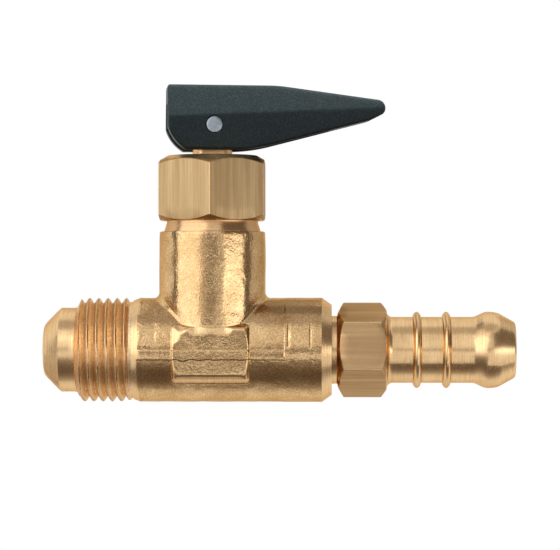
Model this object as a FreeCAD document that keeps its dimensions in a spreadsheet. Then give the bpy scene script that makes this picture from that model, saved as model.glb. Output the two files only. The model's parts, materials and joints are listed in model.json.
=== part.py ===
"""Quick shut-off valve with a toggle lever, in brass, for a screwed flare joint and a push-on hose.

The frame: X runs along the pipe, from the inlet thread to the hose, and Z along the stem.
The origin is on the pipe axis, at the middle of the inlet thread. Lengths are in millimetres.
"""
import FreeCAD, Part
import Sketcher
import math
import os

from FreeCAD import Placement, Rotation, Vector

SIZES = [
    ("inlet_thread_dia", 15.875, "major diameter of the flare thread, 18 turns to the inch"),
    ("inlet_thread_length", 8.7, "threaded length of the inlet"),
    ("nose_length", 5.2, "flare nose, from the thread to its end face"),
    ("nose_dia", 13.0, "cylinder of the flare nose"),
    ("nose_face_dia", 7.9, "end face of the flare nose"),
    ("inlet_bore_dia", 7.0, "gas passage of the inlet"),
    ("shoulder_dia", 15.2, "small end of the chamfer behind the thread"),
    ("shoulder_length", 1.0, "length of that chamfer"),
    ("barrel_dia", 16.0, "forged barrel"),
    ("barrel_length", 30.3, "barrel, from the thread to its end face"),
    ("barrel_end_dia", 13.8, "end face of the barrel"),
    ("barrel_end_chamfer", 1.5, "length of the end chamfer"),
    ("pad_width", 12.1, "raised flat pad on each side of the barrel"),
    ("pad_rise", 0.25, "pad face, proud of the barrel"),
    ("pad_top", 4.1, "upper edge of the pad"),
    ("pad_bottom", 4.8, "lower edge of the pad"),
    ("pad_corner", 1.2, "corner radius of the pad"),
    ("stem_from_thread", 12.0, "stem axis, from the end of the inlet thread"),
    ("neck_widening", 0.2, "how much wider the forged neck is than the barrel"),
    ("neck_height", 18.1, "machined step at the top of the neck"),
    ("neck_fillet", 1.4, "blend between neck and barrel"),
    ("neck_cone_widening", 0.8, "foot of the small cone under the nut, wider than the thread"),
    ("neck_cone_length", 1.4, "height of that cone"),
    ("neck_thread_dia", 14.0, "thread under the cap nut"),
    ("chamber_dia", 11.0, "bore of neck and chamber"),
    ("chamber_floor", 4.5, "floor of the chamber"),
    ("seat_lip_height", 1.0, "seat lip, above the chamber's floor"),
    ("seat_lip_wall", 0.6, "wall of the seat lip"),
    ("seat_bore_dia", 4.0, "bore of the seat"),
    ("inlet_bore_past", 1.9, "how far the inlet bore passes the stem axis"),
    ("outlet_web", 1.2, "wall between inlet bore and outlet bore"),
    ("outlet_bore_dia", 7.0, "gas passage of the outlet"),
    ("riser_dia", 2.3, "hole from the chamber floor to the outlet"),
    ("riser_circle", 4.1, "distance of the risers from the stem axis"),
    ("riser_angle", 25.0, "angle of each riser off the pipe axis"),
    ("nozzle_thread_dia", 12.0, "thread of the nozzle"),
    ("nozzle_thread_length", 8.9, "how far the nozzle reaches into the barrel"),
    ("nozzle_end_play", 0.4, "space between the nozzle and the bottom of its hole"),
    ("thread_play", 0.05, "radial play of a screwed or slid-in fit"),
    ("nozzle_gap", 0.9, "open gap between barrel and nozzle hexagon"),
    ("relief_cut", 0.8, "depth of the turned relief between thread and hexagon"),
    ("relief_depth", 1.0, "how far the relief starts inside the barrel"),
    ("nozzle_flats", 12.65, "nozzle hexagon across flats"),
    ("nozzle_hex_length", 7.5, "nozzle hexagon, along the pipe"),
    ("nozzle_end_circle", 12.2, "circle that the end chamfers leave on the nozzle hexagon"),
    ("nozzle_turn", -7.0, "turn of the nozzle hexagon about the pipe"),
    ("nozzle_bore_dia", 7.0, "bore of the nozzle"),
    ("tail_dia", 10.1, "hose tail between its ribs"),
    ("tail_length", 19.8, "hose tail, from the hexagon to its end"),
    ("rib_height", 0.8, "ribs and bulb, proud of the tail"),
    ("rib_width", 2.1, "width of a rib"),
    ("first_rib", 4.6, "middle of the first rib, from the hexagon"),
    ("rib_pitch", 4.5, "distance from rib to rib"),
    ("bulb_start", 13.1, "foot of the bulb's rise, from the hexagon"),
    ("bulb_rise", 2.2, "length of the bulb's rise"),
    ("bulb_crest", 1.9, "length of the bulb's crest"),
    ("tail_end_dia", 8.6, "end face of the hose tail"),
    ("cap_flats", 16.0, "cap nut across flats"),
    ("cap_foot_circle", 15.6, "circle that the lower chamfer leaves on the cap nut"),
    ("cap_top_circle", 13.8, "circle that the upper chamfer leaves on the cap nut"),
    ("cap_gap", 0.25, "open gap between the neck's cone and the cap nut"),
    ("cap_skirt", 6.5, "cap nut below the top face of the neck"),
    ("cap_wall", 2.0, "top wall of the cap nut"),
    ("cap_hole_play", 0.25, "radial play of the stem in the cap nut"),
    ("guide_flange", 1.5, "thickness of the guide's flange"),
    ("flange_play", 0.2, "radial play of the guide's flange in the cap nut"),
    ("guide_depth", 7.25, "guide below its flange"),
    ("guide_ring_depth", 3.9, "middle of the guide's ring groove, below the flange"),
    ("running_play", 0.05, "radial play of a running fit"),
    ("ring_section", 1.0, "section of each sealing ring"),
    ("ring_play", 0.02, "play of a sealing ring in its groove"),
    ("groove_width", 1.3, "width of each ring groove"),
    ("stem_dia", 6.1, "stem"),
    ("lower_ring_height", 1.65, "lower ring of the stem, above the guide's foot"),
    ("ring_spacing", 3.0, "distance between the stem's rings"),
    ("shank_dia", 4.0, "thin shank above the stem's button"),
    ("shoulder_gap", 0.3, "shoulder of the stem, above the disc holder"),
    ("button_dia", 5.2, "button at the foot of the stem"),
    ("button_thickness", 1.2, "thickness of the button"),
    ("button_play", 0.1, "play of the button in its slot, all round"),
    ("tongue_thickness", 5.0, "flat tongue of the stem"),
    ("tongue_spare", 0.6, "how far the tongue's flats reach below the swung lever"),
    ("tongue_play", 0.1, "side play of the tongue in the lever's fork"),
    ("lever_gap", 0.8, "gap between cap nut and lying lever"),
    ("pin_dia", 2.5, "lever pin"),
    ("holder_dia", 9.4, "disc holder"),
    ("holder_web", 1.6, "wall between the rubber disc and the button's slot"),
    ("holder_roof", 1.7, "wall above the button's slot"),
    ("seal_proud", 0.5, "how far the rubber disc stands out of its holder"),
    ("seal_dia", 8.0, "rubber disc"),
    ("seal_thickness", 1.8, "rubber disc"),
    ("spring_dia", 8.0, "closing spring, through the middle of its wire"),
    ("spring_wire", 0.7, "wire of the closing spring"),
    ("spring_turns", 4.0, "turns of the closing spring"),
    ("lever_yaw", 6.0, "turn of the lever about the stem, as photographed"),
    ("lever_base", 3.75, "lever's underside, below the pin"),
    ("lever_back", 7.0, "lever's back end, behind the pin"),
    ("lever_crown", 6.2, "lever's top, above the pin"),
    ("cam_radius", 6.07, "rolling corner between underside and back end"),
    ("cam_foot", 4.34, "start of that corner, behind the pin"),
    ("cam_end", 0.41, "end of that corner, below the pin"),
    ("crown_corner", 0.5, "radius of the upper back corner"),
    ("crown_flat", 10.0, "where the top starts to fall, from the pin"),
    ("belly_start", 5.9, "where the underside starts to rise, from the pin"),
    ("belly_radius", 26.0, "radius of the bend in the underside"),
    ("tip_foot", 24.1, "foot of the blunt tip, from the pin"),
    ("tip_foot_height", 0.9, "foot of the blunt tip, above the pin"),
    ("tip_start", 25.5, "ends of the tip's round, from the pin"),
    ("tip_low", 1.6, "lower end of the tip's round, above the pin"),
    ("tip_high", 4.15, "upper end of the tip's round, above the pin"),
    ("tip_radius", 1.3, "round of the tip"),
    ("lever_width", 12.0, "width of the lever's back end"),
    ("tip_width", 5.0, "width of the lever's tip"),
    ("back_crease", 1.2, "crease under the bevel at the back end, above the pin"),
    ("tip_crease", 2.86, "the same crease at the tip"),
    ("bevel_lean", 0.488, "how far the bevel leans in, for each millimetre of height"),
    ("fork_play", 0.3, "play of the stem's head in the hollow of the fork"),
    ("core_reach", 18.0, "end of the moulded core under the lever, from the pin"),
    ("core_roof", 2.6, "lever's wall above that core, at the pin"),
]

COS_30 = math.cos(math.radians(30))
TAN_30 = math.tan(math.radians(30))
OVERCUT = 1.0
WIRE_SIDES = 12
ABOVE_AXIS = 0.1

doc = FreeCAD.newDocument("shut_off_valve")
sheet = doc.addObject("Spreadsheet::Sheet", "Sizes")
sheet.set("A1", "name")
sheet.set("B1", "value")
sheet.set("C1", "what it is")
for row, (alias, value, meaning) in enumerate(SIZES, start=2):
    sheet.set(f"A{row}", alias)
    sheet.set(f"B{row}", str(value))
    sheet.setAlias(f"B{row}", alias)
    sheet.set(f"C{row}", meaning)
doc.recompute()


class Size:
    """A number together with the sheet expression that gives it."""

    def __init__(self, number, text):
        self.number = number
        self.text = text

    def __add__(self, other):
        other = as_size(other)
        return Size(self.number + other.number, f"({self.text} + {other.text})")

    def __sub__(self, other):
        other = as_size(other)
        return Size(self.number - other.number, f"({self.text} - {other.text})")

    def __mul__(self, other):
        other = as_size(other)
        return Size(self.number * other.number, f"({self.text} * {other.text})")

    def __truediv__(self, other):
        other = as_size(other)
        return Size(self.number / other.number, f"({self.text} / {other.text})")

    def __neg__(self):
        return Size(-self.number, f"(0 - {self.text})")


def as_size(value):
    return value if isinstance(value, Size) else Size(float(value), f"({float(value)})")


def root_of(value):
    return Size(math.sqrt(value.number), f"sqrt({value.text})")


def cosine(angle):
    return Size(math.cos(math.radians(angle.number)), f"cos({angle.text} * 1 deg)")


def sine(angle):
    return Size(math.sin(math.radians(angle.number)), f"sin({angle.text} * 1 deg)")


class Sheet:
    """Gives each cell of the sheet as a Size, by its alias."""

    def __getattr__(self, alias):
        return Size(float(sheet.get(alias)), f"Sizes.{alias}")


size = Sheet()
ZERO = as_size(0)


def bind(item, **sizes):
    """Bind properties of an item to sizes. Two underscores stand for a dot."""
    for name, value in sizes.items():
        item.setExpression(name.replace("__", "."), as_size(value).text)


def place(item, x=ZERO, y=ZERO, z=ZERO):
    bind(item, Placement__Base__x=x, Placement__Base__y=y, Placement__Base__z=z)


# Places along the pipe and up the stem, worked out from the sheet.
thread_end_x = size.inlet_thread_length / 2
thread_start_x = -thread_end_x
nose_end_x = thread_start_x - size.nose_length
nose_cone_x = nose_end_x + (size.nose_dia - size.nose_face_dia) / 2
stem_x = thread_end_x + size.stem_from_thread
barrel_end_x = thread_end_x + size.barrel_length
inlet_bore_end_x = stem_x + size.inlet_bore_past
outlet_bore_start_x = inlet_bore_end_x + size.outlet_web
nozzle_start_x = barrel_end_x - size.nozzle_thread_length
nozzle_hole_x = nozzle_start_x - size.nozzle_end_play
hex_start_x = barrel_end_x + size.nozzle_gap
hex_end_x = hex_start_x + size.nozzle_hex_length
tail_end_x = hex_end_x + size.tail_length
barrel_radius = size.barrel_dia / 2
neck_radius = (size.barrel_dia + size.neck_widening) / 2
cap_base = size.neck_height + size.neck_cone_length + size.cap_gap
neck_top = cap_base + size.cap_skirt
flange_top = neck_top + size.guide_flange
cap_top = flange_top + size.cap_wall
guide_base = neck_top - size.guide_depth
pin_height = cap_top + size.lever_gap + size.lever_base
seat_top = size.chamber_floor + size.seat_lip_height
seal_top = seat_top + size.seal_thickness
button_base = seal_top + size.holder_web + size.button_play
button_top = button_base + size.button_thickness
holder_top = button_top + size.button_play + size.holder_roof
stem_radius = size.stem_dia / 2
lower_ring_z = guide_base + size.lower_ring_height
fork_width = size.tongue_thickness + size.tongue_play * 2
relief_radius = size.nozzle_thread_dia / 2 - size.relief_cut


def add_outline(sketch, points):
    """Draw a closed outline and tie each of its points to the sheet.

    A point is (x, y), or (x, y, radius, side), where the edge that leaves it is an arc.
    Side is 1 where the arc runs anticlockwise and -1 where it runs clockwise.
    """
    spots = [Vector(as_size(point[0]).number, as_size(point[1]).number, 0) for point in points]
    ends = []
    for index, point in enumerate(points):
        start = spots[index]
        stop = spots[(index + 1) % len(spots)]
        if len(point) == 2:
            edge = sketch.addGeometry(Part.LineSegment(start, stop), False)
            ends.append((edge, 1, 2))
            continue
        radius, side = point[2].number, point[3]
        half = (stop - start).Length / 2
        across = Vector(start.y - stop.y, stop.x - start.x, 0).normalize()
        centre = (start + stop) / 2 + across * (side * math.sqrt(radius ** 2 - half ** 2))
        first, last = (start, stop) if side > 0 else (stop, start)
        circle = Part.Circle(centre, Vector(0, 0, 1), radius)
        arc = Part.ArcOfCircle(circle, circle.parameter(first), circle.parameter(last))
        edge = sketch.addGeometry(arc, False)
        ends.append((edge, 1, 2) if side > 0 else (edge, 2, 1))
    for index, point in enumerate(points):
        edge, first, last = ends[index]
        next_edge, next_first, _ = ends[(index + 1) % len(ends)]
        sketch.addConstraint(Sketcher.Constraint("Coincident", edge, last, next_edge, next_first))
        for kind, value in (("DistanceX", point[0]), ("DistanceY", point[1])):
            value = as_size(value)
            tie = sketch.addConstraint(Sketcher.Constraint(kind, -1, 1, edge, first, value.number))
            sketch.setExpression(f"Constraints[{tie}]", value.text)
        if len(point) > 2:
            tie = sketch.addConstraint(Sketcher.Constraint("Radius", edge, point[2].number))
            sketch.setExpression(f"Constraints[{tie}]", point[2].text)


def add_circle(sketch, x, y, radius):
    edge = sketch.addGeometry(Part.Circle(Vector(x.number, y.number, 0), Vector(0, 0, 1), radius.number), False)
    for kind, value in (("DistanceX", x), ("DistanceY", y)):
        tie = sketch.addConstraint(Sketcher.Constraint(kind, -1, 1, edge, 3, value.number))
        sketch.setExpression(f"Constraints[{tie}]", value.text)
    tie = sketch.addConstraint(Sketcher.Constraint("Radius", edge, radius.number))
    sketch.setExpression(f"Constraints[{tie}]", radius.text)


def body_sketch(body, name, role):
    """An empty sketch on one of the body's own origin planes."""
    sketch = body.newObject("Sketcher::SketchObject", name)
    plane = next(feature for feature in body.Origin.OriginFeatures if feature.Role == role)
    sketch.AttachmentSupport = [(plane, "")]
    sketch.MapMode = "FlatFace"
    return sketch


def turn(body, name, points, axis, cut=False, offset=ZERO):
    """Add or cut a turned form, with its profile in the XZ plane. Axis is H_Axis or V_Axis."""
    sketch = body_sketch(body, f"{name}_profile", "XZ_Plane")
    bind(sketch, AttachmentOffset__Base__x=offset)
    add_outline(sketch, points)
    form = body.newObject("PartDesign::Groove" if cut else "PartDesign::Revolution", name)
    form.Profile = sketch
    form.ReferenceAxis = (sketch, [axis])
    form.Angle = 360
    doc.recompute()
    return form


def turned_body(name, points, axis):
    body = doc.addObject("PartDesign::Body", name)
    turn(body, f"{name}_form", points, axis)
    return body


def cylinder(name, radius, height, along="Z"):
    item = doc.addObject("Part::Cylinder", name)
    bind(item, Radius=radius, Height=height)
    if along == "X":
        item.Placement.Rotation = Rotation(Vector(0, 1, 0), 90)
    if along == "Y":
        item.Placement.Rotation = Rotation(Vector(1, 0, 0), -90)
    return item


def box(name, length, width, height):
    item = doc.addObject("Part::Box", name)
    bind(item, Length=length, Width=width, Height=height)
    return item


def torus(name, ring_radius, section_radius, z):
    item = doc.addObject("Part::Torus", name)
    bind(item, Radius1=ring_radius, Radius2=section_radius)
    place(item, z=z)
    return item


def fuse(name, items):
    item = doc.addObject("Part::MultiFuse", name)
    item.Shapes = items
    return item


def cut(name, base, tool):
    item = doc.addObject("Part::Cut", name)
    item.Base = base
    item.Tool = tool
    return item


def common(name, items):
    item = doc.addObject("Part::MultiCommon", name)
    item.Shapes = items
    return item


def hexagon(name, flats, foot_circle, top_circle, length):
    """A hexagon bar along Z whose corners a turned double cone has taken off at 30 degrees."""
    bar = doc.addObject("Part::Prism", f"{name}_bar")
    bar.Polygon = 6
    corner = flats / 2 / COS_30
    bind(bar, Circumradius=corner, Height=length)
    foot = foot_circle / 2
    top = top_circle / 2
    beyond = corner + OVERCUT
    cone = turned_body(f"{name}_cone", [
        (ZERO, ZERO), (foot, ZERO), (beyond, (beyond - foot) * TAN_30),
        (beyond, length - (beyond - top) * TAN_30), (top, length), (ZERO, length),
    ], "V_Axis")
    return common(name, [bar, cone])


def make_valve_body():
    """The forged tee: flare nose, thread, barrel, neck, side pads, and all its bores."""
    body = doc.addObject("PartDesign::Body", "valve_body")
    face_r = size.nose_face_dia / 2
    nose_r = size.nose_dia / 2
    thread_r = size.inlet_thread_dia / 2
    thread_bevel = thread_r - nose_r
    turn(body, "barrel", [
        (nose_end_x, ZERO),
        (nose_end_x, face_r),
        (nose_cone_x, nose_r),
        (thread_start_x, nose_r),
        (thread_start_x + thread_bevel / 2, thread_r),
        (thread_end_x, thread_r),
        (thread_end_x, size.shoulder_dia / 2),
        (thread_end_x + size.shoulder_length, barrel_radius),
        (barrel_end_x - size.barrel_end_chamfer, barrel_radius),
        (barrel_end_x, size.barrel_end_dia / 2),
        (barrel_end_x, ZERO),
    ], "H_Axis")

    neck_thread_r = size.neck_thread_dia / 2
    neck = turn(body, "neck", [
        (ZERO, ZERO),
        (neck_radius, ZERO),
        (neck_radius, size.neck_height),
        (neck_thread_r + size.neck_cone_widening / 2, size.neck_height),
        (neck_thread_r, size.neck_height + size.neck_cone_length),
        (neck_thread_r, neck_top),
        (ZERO, neck_top),
    ], "V_Axis", offset=stem_x)

    blend = body.newObject("PartDesign::Fillet", "neck_blend")
    blend.Base = (neck, seam_edges(neck.Shape))
    bind(blend, Radius=size.neck_fillet)
    doc.recompute()

    for side, name in ((-1, "front_pad"), (1, "back_pad")):
        sketch = body_sketch(body, f"{name}_outline", "XZ_Plane")
        half = size.pad_width / 2
        round_r = size.pad_corner
        left, right = stem_x - half, stem_x + half
        low, high = -size.pad_bottom, size.pad_top
        add_outline(sketch, [
            (left + round_r, low), (right - round_r, low, round_r, 1),
            (right, low + round_r), (right, high - round_r, round_r, 1),
            (right - round_r, high), (left + round_r, high, round_r, 1),
            (left, high - round_r), (left, low + round_r, round_r, 1),
        ])
        pad = body.newObject("PartDesign::Pad", name)
        pad.Profile = sketch
        pad.Reversed = side > 0
        bind(pad, Length=barrel_radius + size.pad_rise)
        doc.recompute()

    inlet_r = size.inlet_bore_dia / 2
    turn(body, "inlet_bore", [
        (nose_end_x - OVERCUT, ZERO), (nose_end_x - OVERCUT, inlet_r),
        (inlet_bore_end_x, inlet_r), (inlet_bore_end_x, ZERO),
    ], "H_Axis", cut=True)

    outlet_r = size.outlet_bore_dia / 2
    hole_r = size.nozzle_thread_dia / 2 + size.thread_play
    turn(body, "outlet_bore", [
        (outlet_bore_start_x, ZERO), (outlet_bore_start_x, outlet_r),
        (nozzle_hole_x, outlet_r), (nozzle_hole_x, hole_r),
        (barrel_end_x + OVERCUT, hole_r), (barrel_end_x + OVERCUT, ZERO),
    ], "H_Axis", cut=True)

    seat_r = size.seat_bore_dia / 2
    lip_r = seat_r + size.seat_lip_wall
    chamber_r = size.chamber_dia / 2
    turn(body, "chamber", [
        (ZERO, ZERO), (seat_r, ZERO), (seat_r, seat_top), (lip_r, seat_top),
        (lip_r, size.chamber_floor), (chamber_r, size.chamber_floor),
        (chamber_r, neck_top + OVERCUT), (ZERO, neck_top + OVERCUT),
    ], "V_Axis", cut=True, offset=stem_x)

    for side, name in ((-1, "front_riser"), (1, "back_riser")):
        sketch = body_sketch(body, f"{name}_outline", "XY_Plane")
        add_circle(sketch, stem_x + size.riser_circle * cosine(size.riser_angle),
                   size.riser_circle * sine(size.riser_angle) * side, size.riser_dia / 2)
        riser = body.newObject("PartDesign::Pocket", name)
        riser.Profile = sketch
        riser.Reversed = True
        bind(riser, Length=size.chamber_floor + OVERCUT / 2)
        doc.recompute()
    return body


def seam_edges(shape):
    """Names of the edges where neck and barrel meet: neither straight nor circular, and above the axis."""
    names = []
    for index, edge in enumerate(shape.Edges, start=1):
        middle = edge.valueAt((edge.FirstParameter + edge.LastParameter) / 2)
        plain = isinstance(edge.Curve, (Part.Line, Part.Circle))
        if not plain and middle.z > ABOVE_AXIS:
            names.append(f"Edge{index}")
    return names


def make_hose_nozzle():
    """Nozzle: thread and relief in the barrel, hexagon, tail with two ribs and a bulb, one bore."""
    thread_r = size.nozzle_thread_dia / 2
    tail_r = size.tail_dia / 2
    rib_rise = size.rib_height
    rib_r = tail_r + rib_rise
    relief_x = barrel_end_x - size.relief_depth
    lead = size.relief_cut
    inside_hex_x = hex_end_x - size.nozzle_hex_length / 2
    profile = [
        (nozzle_start_x, ZERO),
        (nozzle_start_x, thread_r - lead),
        (nozzle_start_x + lead, thread_r),
        (relief_x, thread_r),
        (relief_x, relief_radius),
        (inside_hex_x, relief_radius),
        (inside_hex_x, tail_r),
    ]
    for number in range(2):
        middle = hex_end_x + size.first_rib + size.rib_pitch * number
        start = middle - size.rib_width / 2
        stop = middle + size.rib_width / 2
        profile += [
            (start, tail_r, rib_rise, -1), (start + rib_rise, rib_r),
            (stop - rib_rise, rib_r, rib_rise, -1), (stop, tail_r),
        ]
    bulb_x = hex_end_x + size.bulb_start
    crest_x = bulb_x + size.bulb_rise
    crest_end_x = crest_x + size.bulb_crest
    profile += [
        (bulb_x, tail_r), (crest_x, rib_r), (crest_end_x, rib_r),
        (tail_end_x, size.tail_end_dia / 2), (tail_end_x, ZERO),
    ]
    turned = turned_body("nozzle_turned", profile, "H_Axis")
    hexagon_part = hexagon(
        "nozzle_hexagon", size.nozzle_flats, size.nozzle_end_circle, size.nozzle_end_circle,
        size.nozzle_hex_length)
    turn_about_pipe = Rotation(Vector(1, 0, 0), size.nozzle_turn.number) * Rotation(Vector(0, 1, 0), 90)
    hexagon_part.Placement = Placement(Vector(), turn_about_pipe)
    place(hexagon_part, x=hex_start_x)
    bore = cylinder("nozzle_bore", size.nozzle_bore_dia / 2, tail_end_x - nozzle_start_x + OVERCUT * 2, "X")
    place(bore, x=nozzle_start_x - OVERCUT)
    return cut("hose_nozzle", fuse("nozzle_solid", [turned, hexagon_part]), bore)


def make_cap_nut():
    """Cap nut: threaded on the neck, its top wall presses on the guide's flange."""
    height = cap_top - cap_base
    nut = hexagon("cap_hexagon", size.cap_flats, size.cap_foot_circle, size.cap_top_circle, height)
    nut.Placement = Placement(Vector(), Rotation(Vector(0, 0, 1), 30))
    place(nut, x=stem_x, z=cap_base)
    thread = cylinder("cap_thread", size.neck_thread_dia / 2 + size.thread_play, flange_top - cap_base + OVERCUT)
    place(thread, x=stem_x, z=cap_base - OVERCUT)
    hole = cylinder("cap_hole", stem_radius + size.cap_hole_play, height + OVERCUT)
    place(hole, x=stem_x, z=cap_base)
    return cut("cap_nut", nut, fuse("cap_cuts", [thread, hole]))


def make_stem_guide():
    """Flanged bush in the neck, with a groove for its static ring."""
    outer = size.chamber_dia / 2 - size.running_play
    inner = stem_radius + size.running_play
    groove_floor = size.chamber_dia / 2 - size.ring_section + size.ring_play
    groove_z = neck_top - size.guide_ring_depth
    flange_r = size.neck_thread_dia / 2 + size.thread_play - size.flange_play
    body = turned_body("stem_guide", [
        (inner, guide_base), (outer, guide_base),
        (outer, groove_z - size.groove_width / 2), (groove_floor, groove_z - size.groove_width / 2),
        (groove_floor, groove_z + size.groove_width / 2), (outer, groove_z + size.groove_width / 2),
        (outer, neck_top), (flange_r, neck_top),
        (flange_r, flange_top), (inner, flange_top),
    ], "V_Axis")
    place(body, x=stem_x)
    return body


def make_rings():
    """The static ring of the guide and the two sliding rings of the stem."""
    section_r = size.ring_section / 2 - size.ring_play
    static_r = size.chamber_dia / 2 - size.ring_section / 2
    static = torus("guide_o_ring", static_r, section_r, neck_top - size.guide_ring_depth)
    bind(static, Placement__Base__x=stem_x)
    rings = [static]
    sliding_r = stem_radius + size.running_play - size.ring_section / 2
    for name, number in (("stem_o_ring_lower", 0), ("stem_o_ring_upper", 1)):
        ring = torus(name, sliding_r, section_r, lower_ring_z + size.ring_spacing * number)
        bind(ring, Placement__Base__x=stem_x)
        rings.append(ring)
    return rings


def make_stem():
    """Stem: button and shank for the holder, two ring grooves, and a flat tongue with a round head."""
    groove_floor = stem_radius + size.running_play - size.ring_section
    profile = [
        (ZERO, button_base), (size.button_dia / 2, button_base),
        (size.button_dia / 2, button_top), (size.shank_dia / 2, button_top),
        (size.shank_dia / 2, holder_top + size.shoulder_gap), (stem_radius, holder_top + size.shoulder_gap),
    ]
    for number in range(2):
        middle = lower_ring_z + size.ring_spacing * number
        profile += [
            (stem_radius, middle - size.groove_width / 2), (groove_floor, middle - size.groove_width / 2),
            (groove_floor, middle + size.groove_width / 2), (stem_radius, middle + size.groove_width / 2),
        ]
    profile += [(stem_radius, pin_height), (ZERO, pin_height)]
    round_part = turned_body("stem_turned", profile, "V_Axis")
    head = cylinder("stem_head", stem_radius, size.tongue_thickness, "Y")
    place(head, y=-size.tongue_thickness / 2, z=pin_height)
    solid = fuse("stem_solid", [round_part, head])

    cuts = []
    tongue_depth = size.lever_back + size.tongue_spare
    for side, name in ((-1, "front_flat"), (1, "back_flat")):
        flat = box(name, size.stem_dia * 2, size.stem_dia, tongue_depth + size.stem_dia)
        near = size.tongue_thickness / 2
        place(flat, x=-size.stem_dia, y=near if side > 0 else -near - size.stem_dia,
              z=pin_height - tongue_depth)
        cuts.append(flat)
    hole = cylinder("stem_pin_hole", size.pin_dia / 2 + size.running_play, size.stem_dia * 2, "Y")
    place(hole, y=-size.stem_dia, z=pin_height)
    cuts.append(hole)
    stem = cut("stem", solid, fuse("stem_cuts", cuts))
    yaw_and_place(stem, ZERO)
    return stem


def yaw_and_place(item, z):
    """Put an item on the stem axis, turned about it as the lever is."""
    item.Placement = Placement(Vector(), Rotation(Vector(0, 0, 1), size.lever_yaw.number))
    bind(item, Placement__Rotation__Angle=size.lever_yaw)
    place(item, x=stem_x, z=z)


def make_disc_holder():
    """Holder: a recess for the rubber disc below, a T-slot for the stem's button above."""
    holder_r = size.holder_dia / 2
    seal_r = size.seal_dia / 2
    rim = seat_top + size.seal_proud
    turned = turned_body("holder_turned", [
        (ZERO, seal_top), (seal_r, seal_top), (seal_r, rim),
        (holder_r, rim), (holder_r, holder_top), (ZERO, holder_top),
    ], "V_Axis")
    cuts = []
    slots = (
        ("button_slot", size.button_dia / 2 + size.button_play, button_base - size.button_play,
         size.button_thickness + size.button_play * 2),
        ("shank_slot", size.shank_dia / 2 + size.button_play, button_top,
         holder_top - button_top + OVERCUT),
    )
    for name, radius, base, height in slots:
        end = cylinder(f"{name}_end", radius, height)
        place(end, z=base)
        way = box(f"{name}_way", holder_r + OVERCUT, radius * 2, height)
        place(way, y=-radius, z=base)
        cuts += [end, way]
    holder = cut("disc_holder", turned, fuse("holder_cuts", cuts))
    place(holder, x=stem_x)
    return holder


def make_seat_seal():
    seal = cylinder("seat_seal", size.seal_dia / 2, size.seal_thickness)
    place(seal, x=stem_x, z=seat_top)
    return seal


def make_closing_spring():
    """Coil spring between the holder's top face and the underside of the guide.

    Its wire is a twelve-sided section that a helix carries, so that it stays light.
    """
    wire_r = size.spring_wire / 2
    rise = guide_base - holder_top - size.spring_wire
    path = doc.addObject("Part::Helix", "spring_path")
    bind(path, Radius=size.spring_dia / 2, Height=rise, Pitch=rise / size.spring_turns)
    section = doc.addObject("Part::RegularPolygon", "spring_section")
    section.Polygon = WIRE_SIDES
    section.Placement.Rotation = Rotation(Vector(1, 0, 0), 90)
    bind(section, Circumradius=wire_r, Placement__Base__x=size.spring_dia / 2)
    sweep = doc.addObject("Part::Sweep", "closing_spring")
    sweep.Sections = [section]
    doc.recompute()
    sweep.Spine = (path, [f"Edge{number}" for number in range(1, len(path.Shape.Edges) + 1)])
    sweep.Solid = True
    sweep.Frenet = True
    place(sweep, x=stem_x, z=holder_top + wire_r)
    return sweep


def flat_sketch(name, turned_to, points):
    """A sketch of its own, upright along the lever (XZ) or across it (YZ)."""
    sketch = doc.addObject("Sketcher::SketchObject", name)
    if turned_to == "XZ":
        sketch.Placement.Rotation = Rotation(Vector(1, 0, 0), 90)
    if turned_to == "YZ":
        sketch.Placement.Rotation = Rotation(Vector(1, 1, 1), 120)
    add_outline(sketch, points)
    return sketch


def extrude_across(name, sketch, width):
    """Extrude a sketch of the lever's side view to both sides of its middle plane."""
    item = doc.addObject("Part::Extrusion", name)
    item.Base = sketch
    item.DirMode = "Custom"
    item.Dir = Vector(0, 1, 0)
    item.Solid = True
    item.Symmetric = True
    bind(item, LengthFwd=width)
    return item


def lever_section(name, x, half_width, crease):
    """Section across the lever: upright sides to the crease, then bevels that lean in."""
    foot = -(size.lever_base + OVERCUT)
    top = size.lever_crown + OVERCUT
    top_half = half_width - (top - crease) * size.bevel_lean
    sketch = flat_sketch(name, "YZ", [
        (-half_width, foot), (half_width, foot), (half_width, crease),
        (top_half, top), (-top_half, top), (-half_width, crease),
    ])
    place(sketch, x=x)
    return sketch


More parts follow.
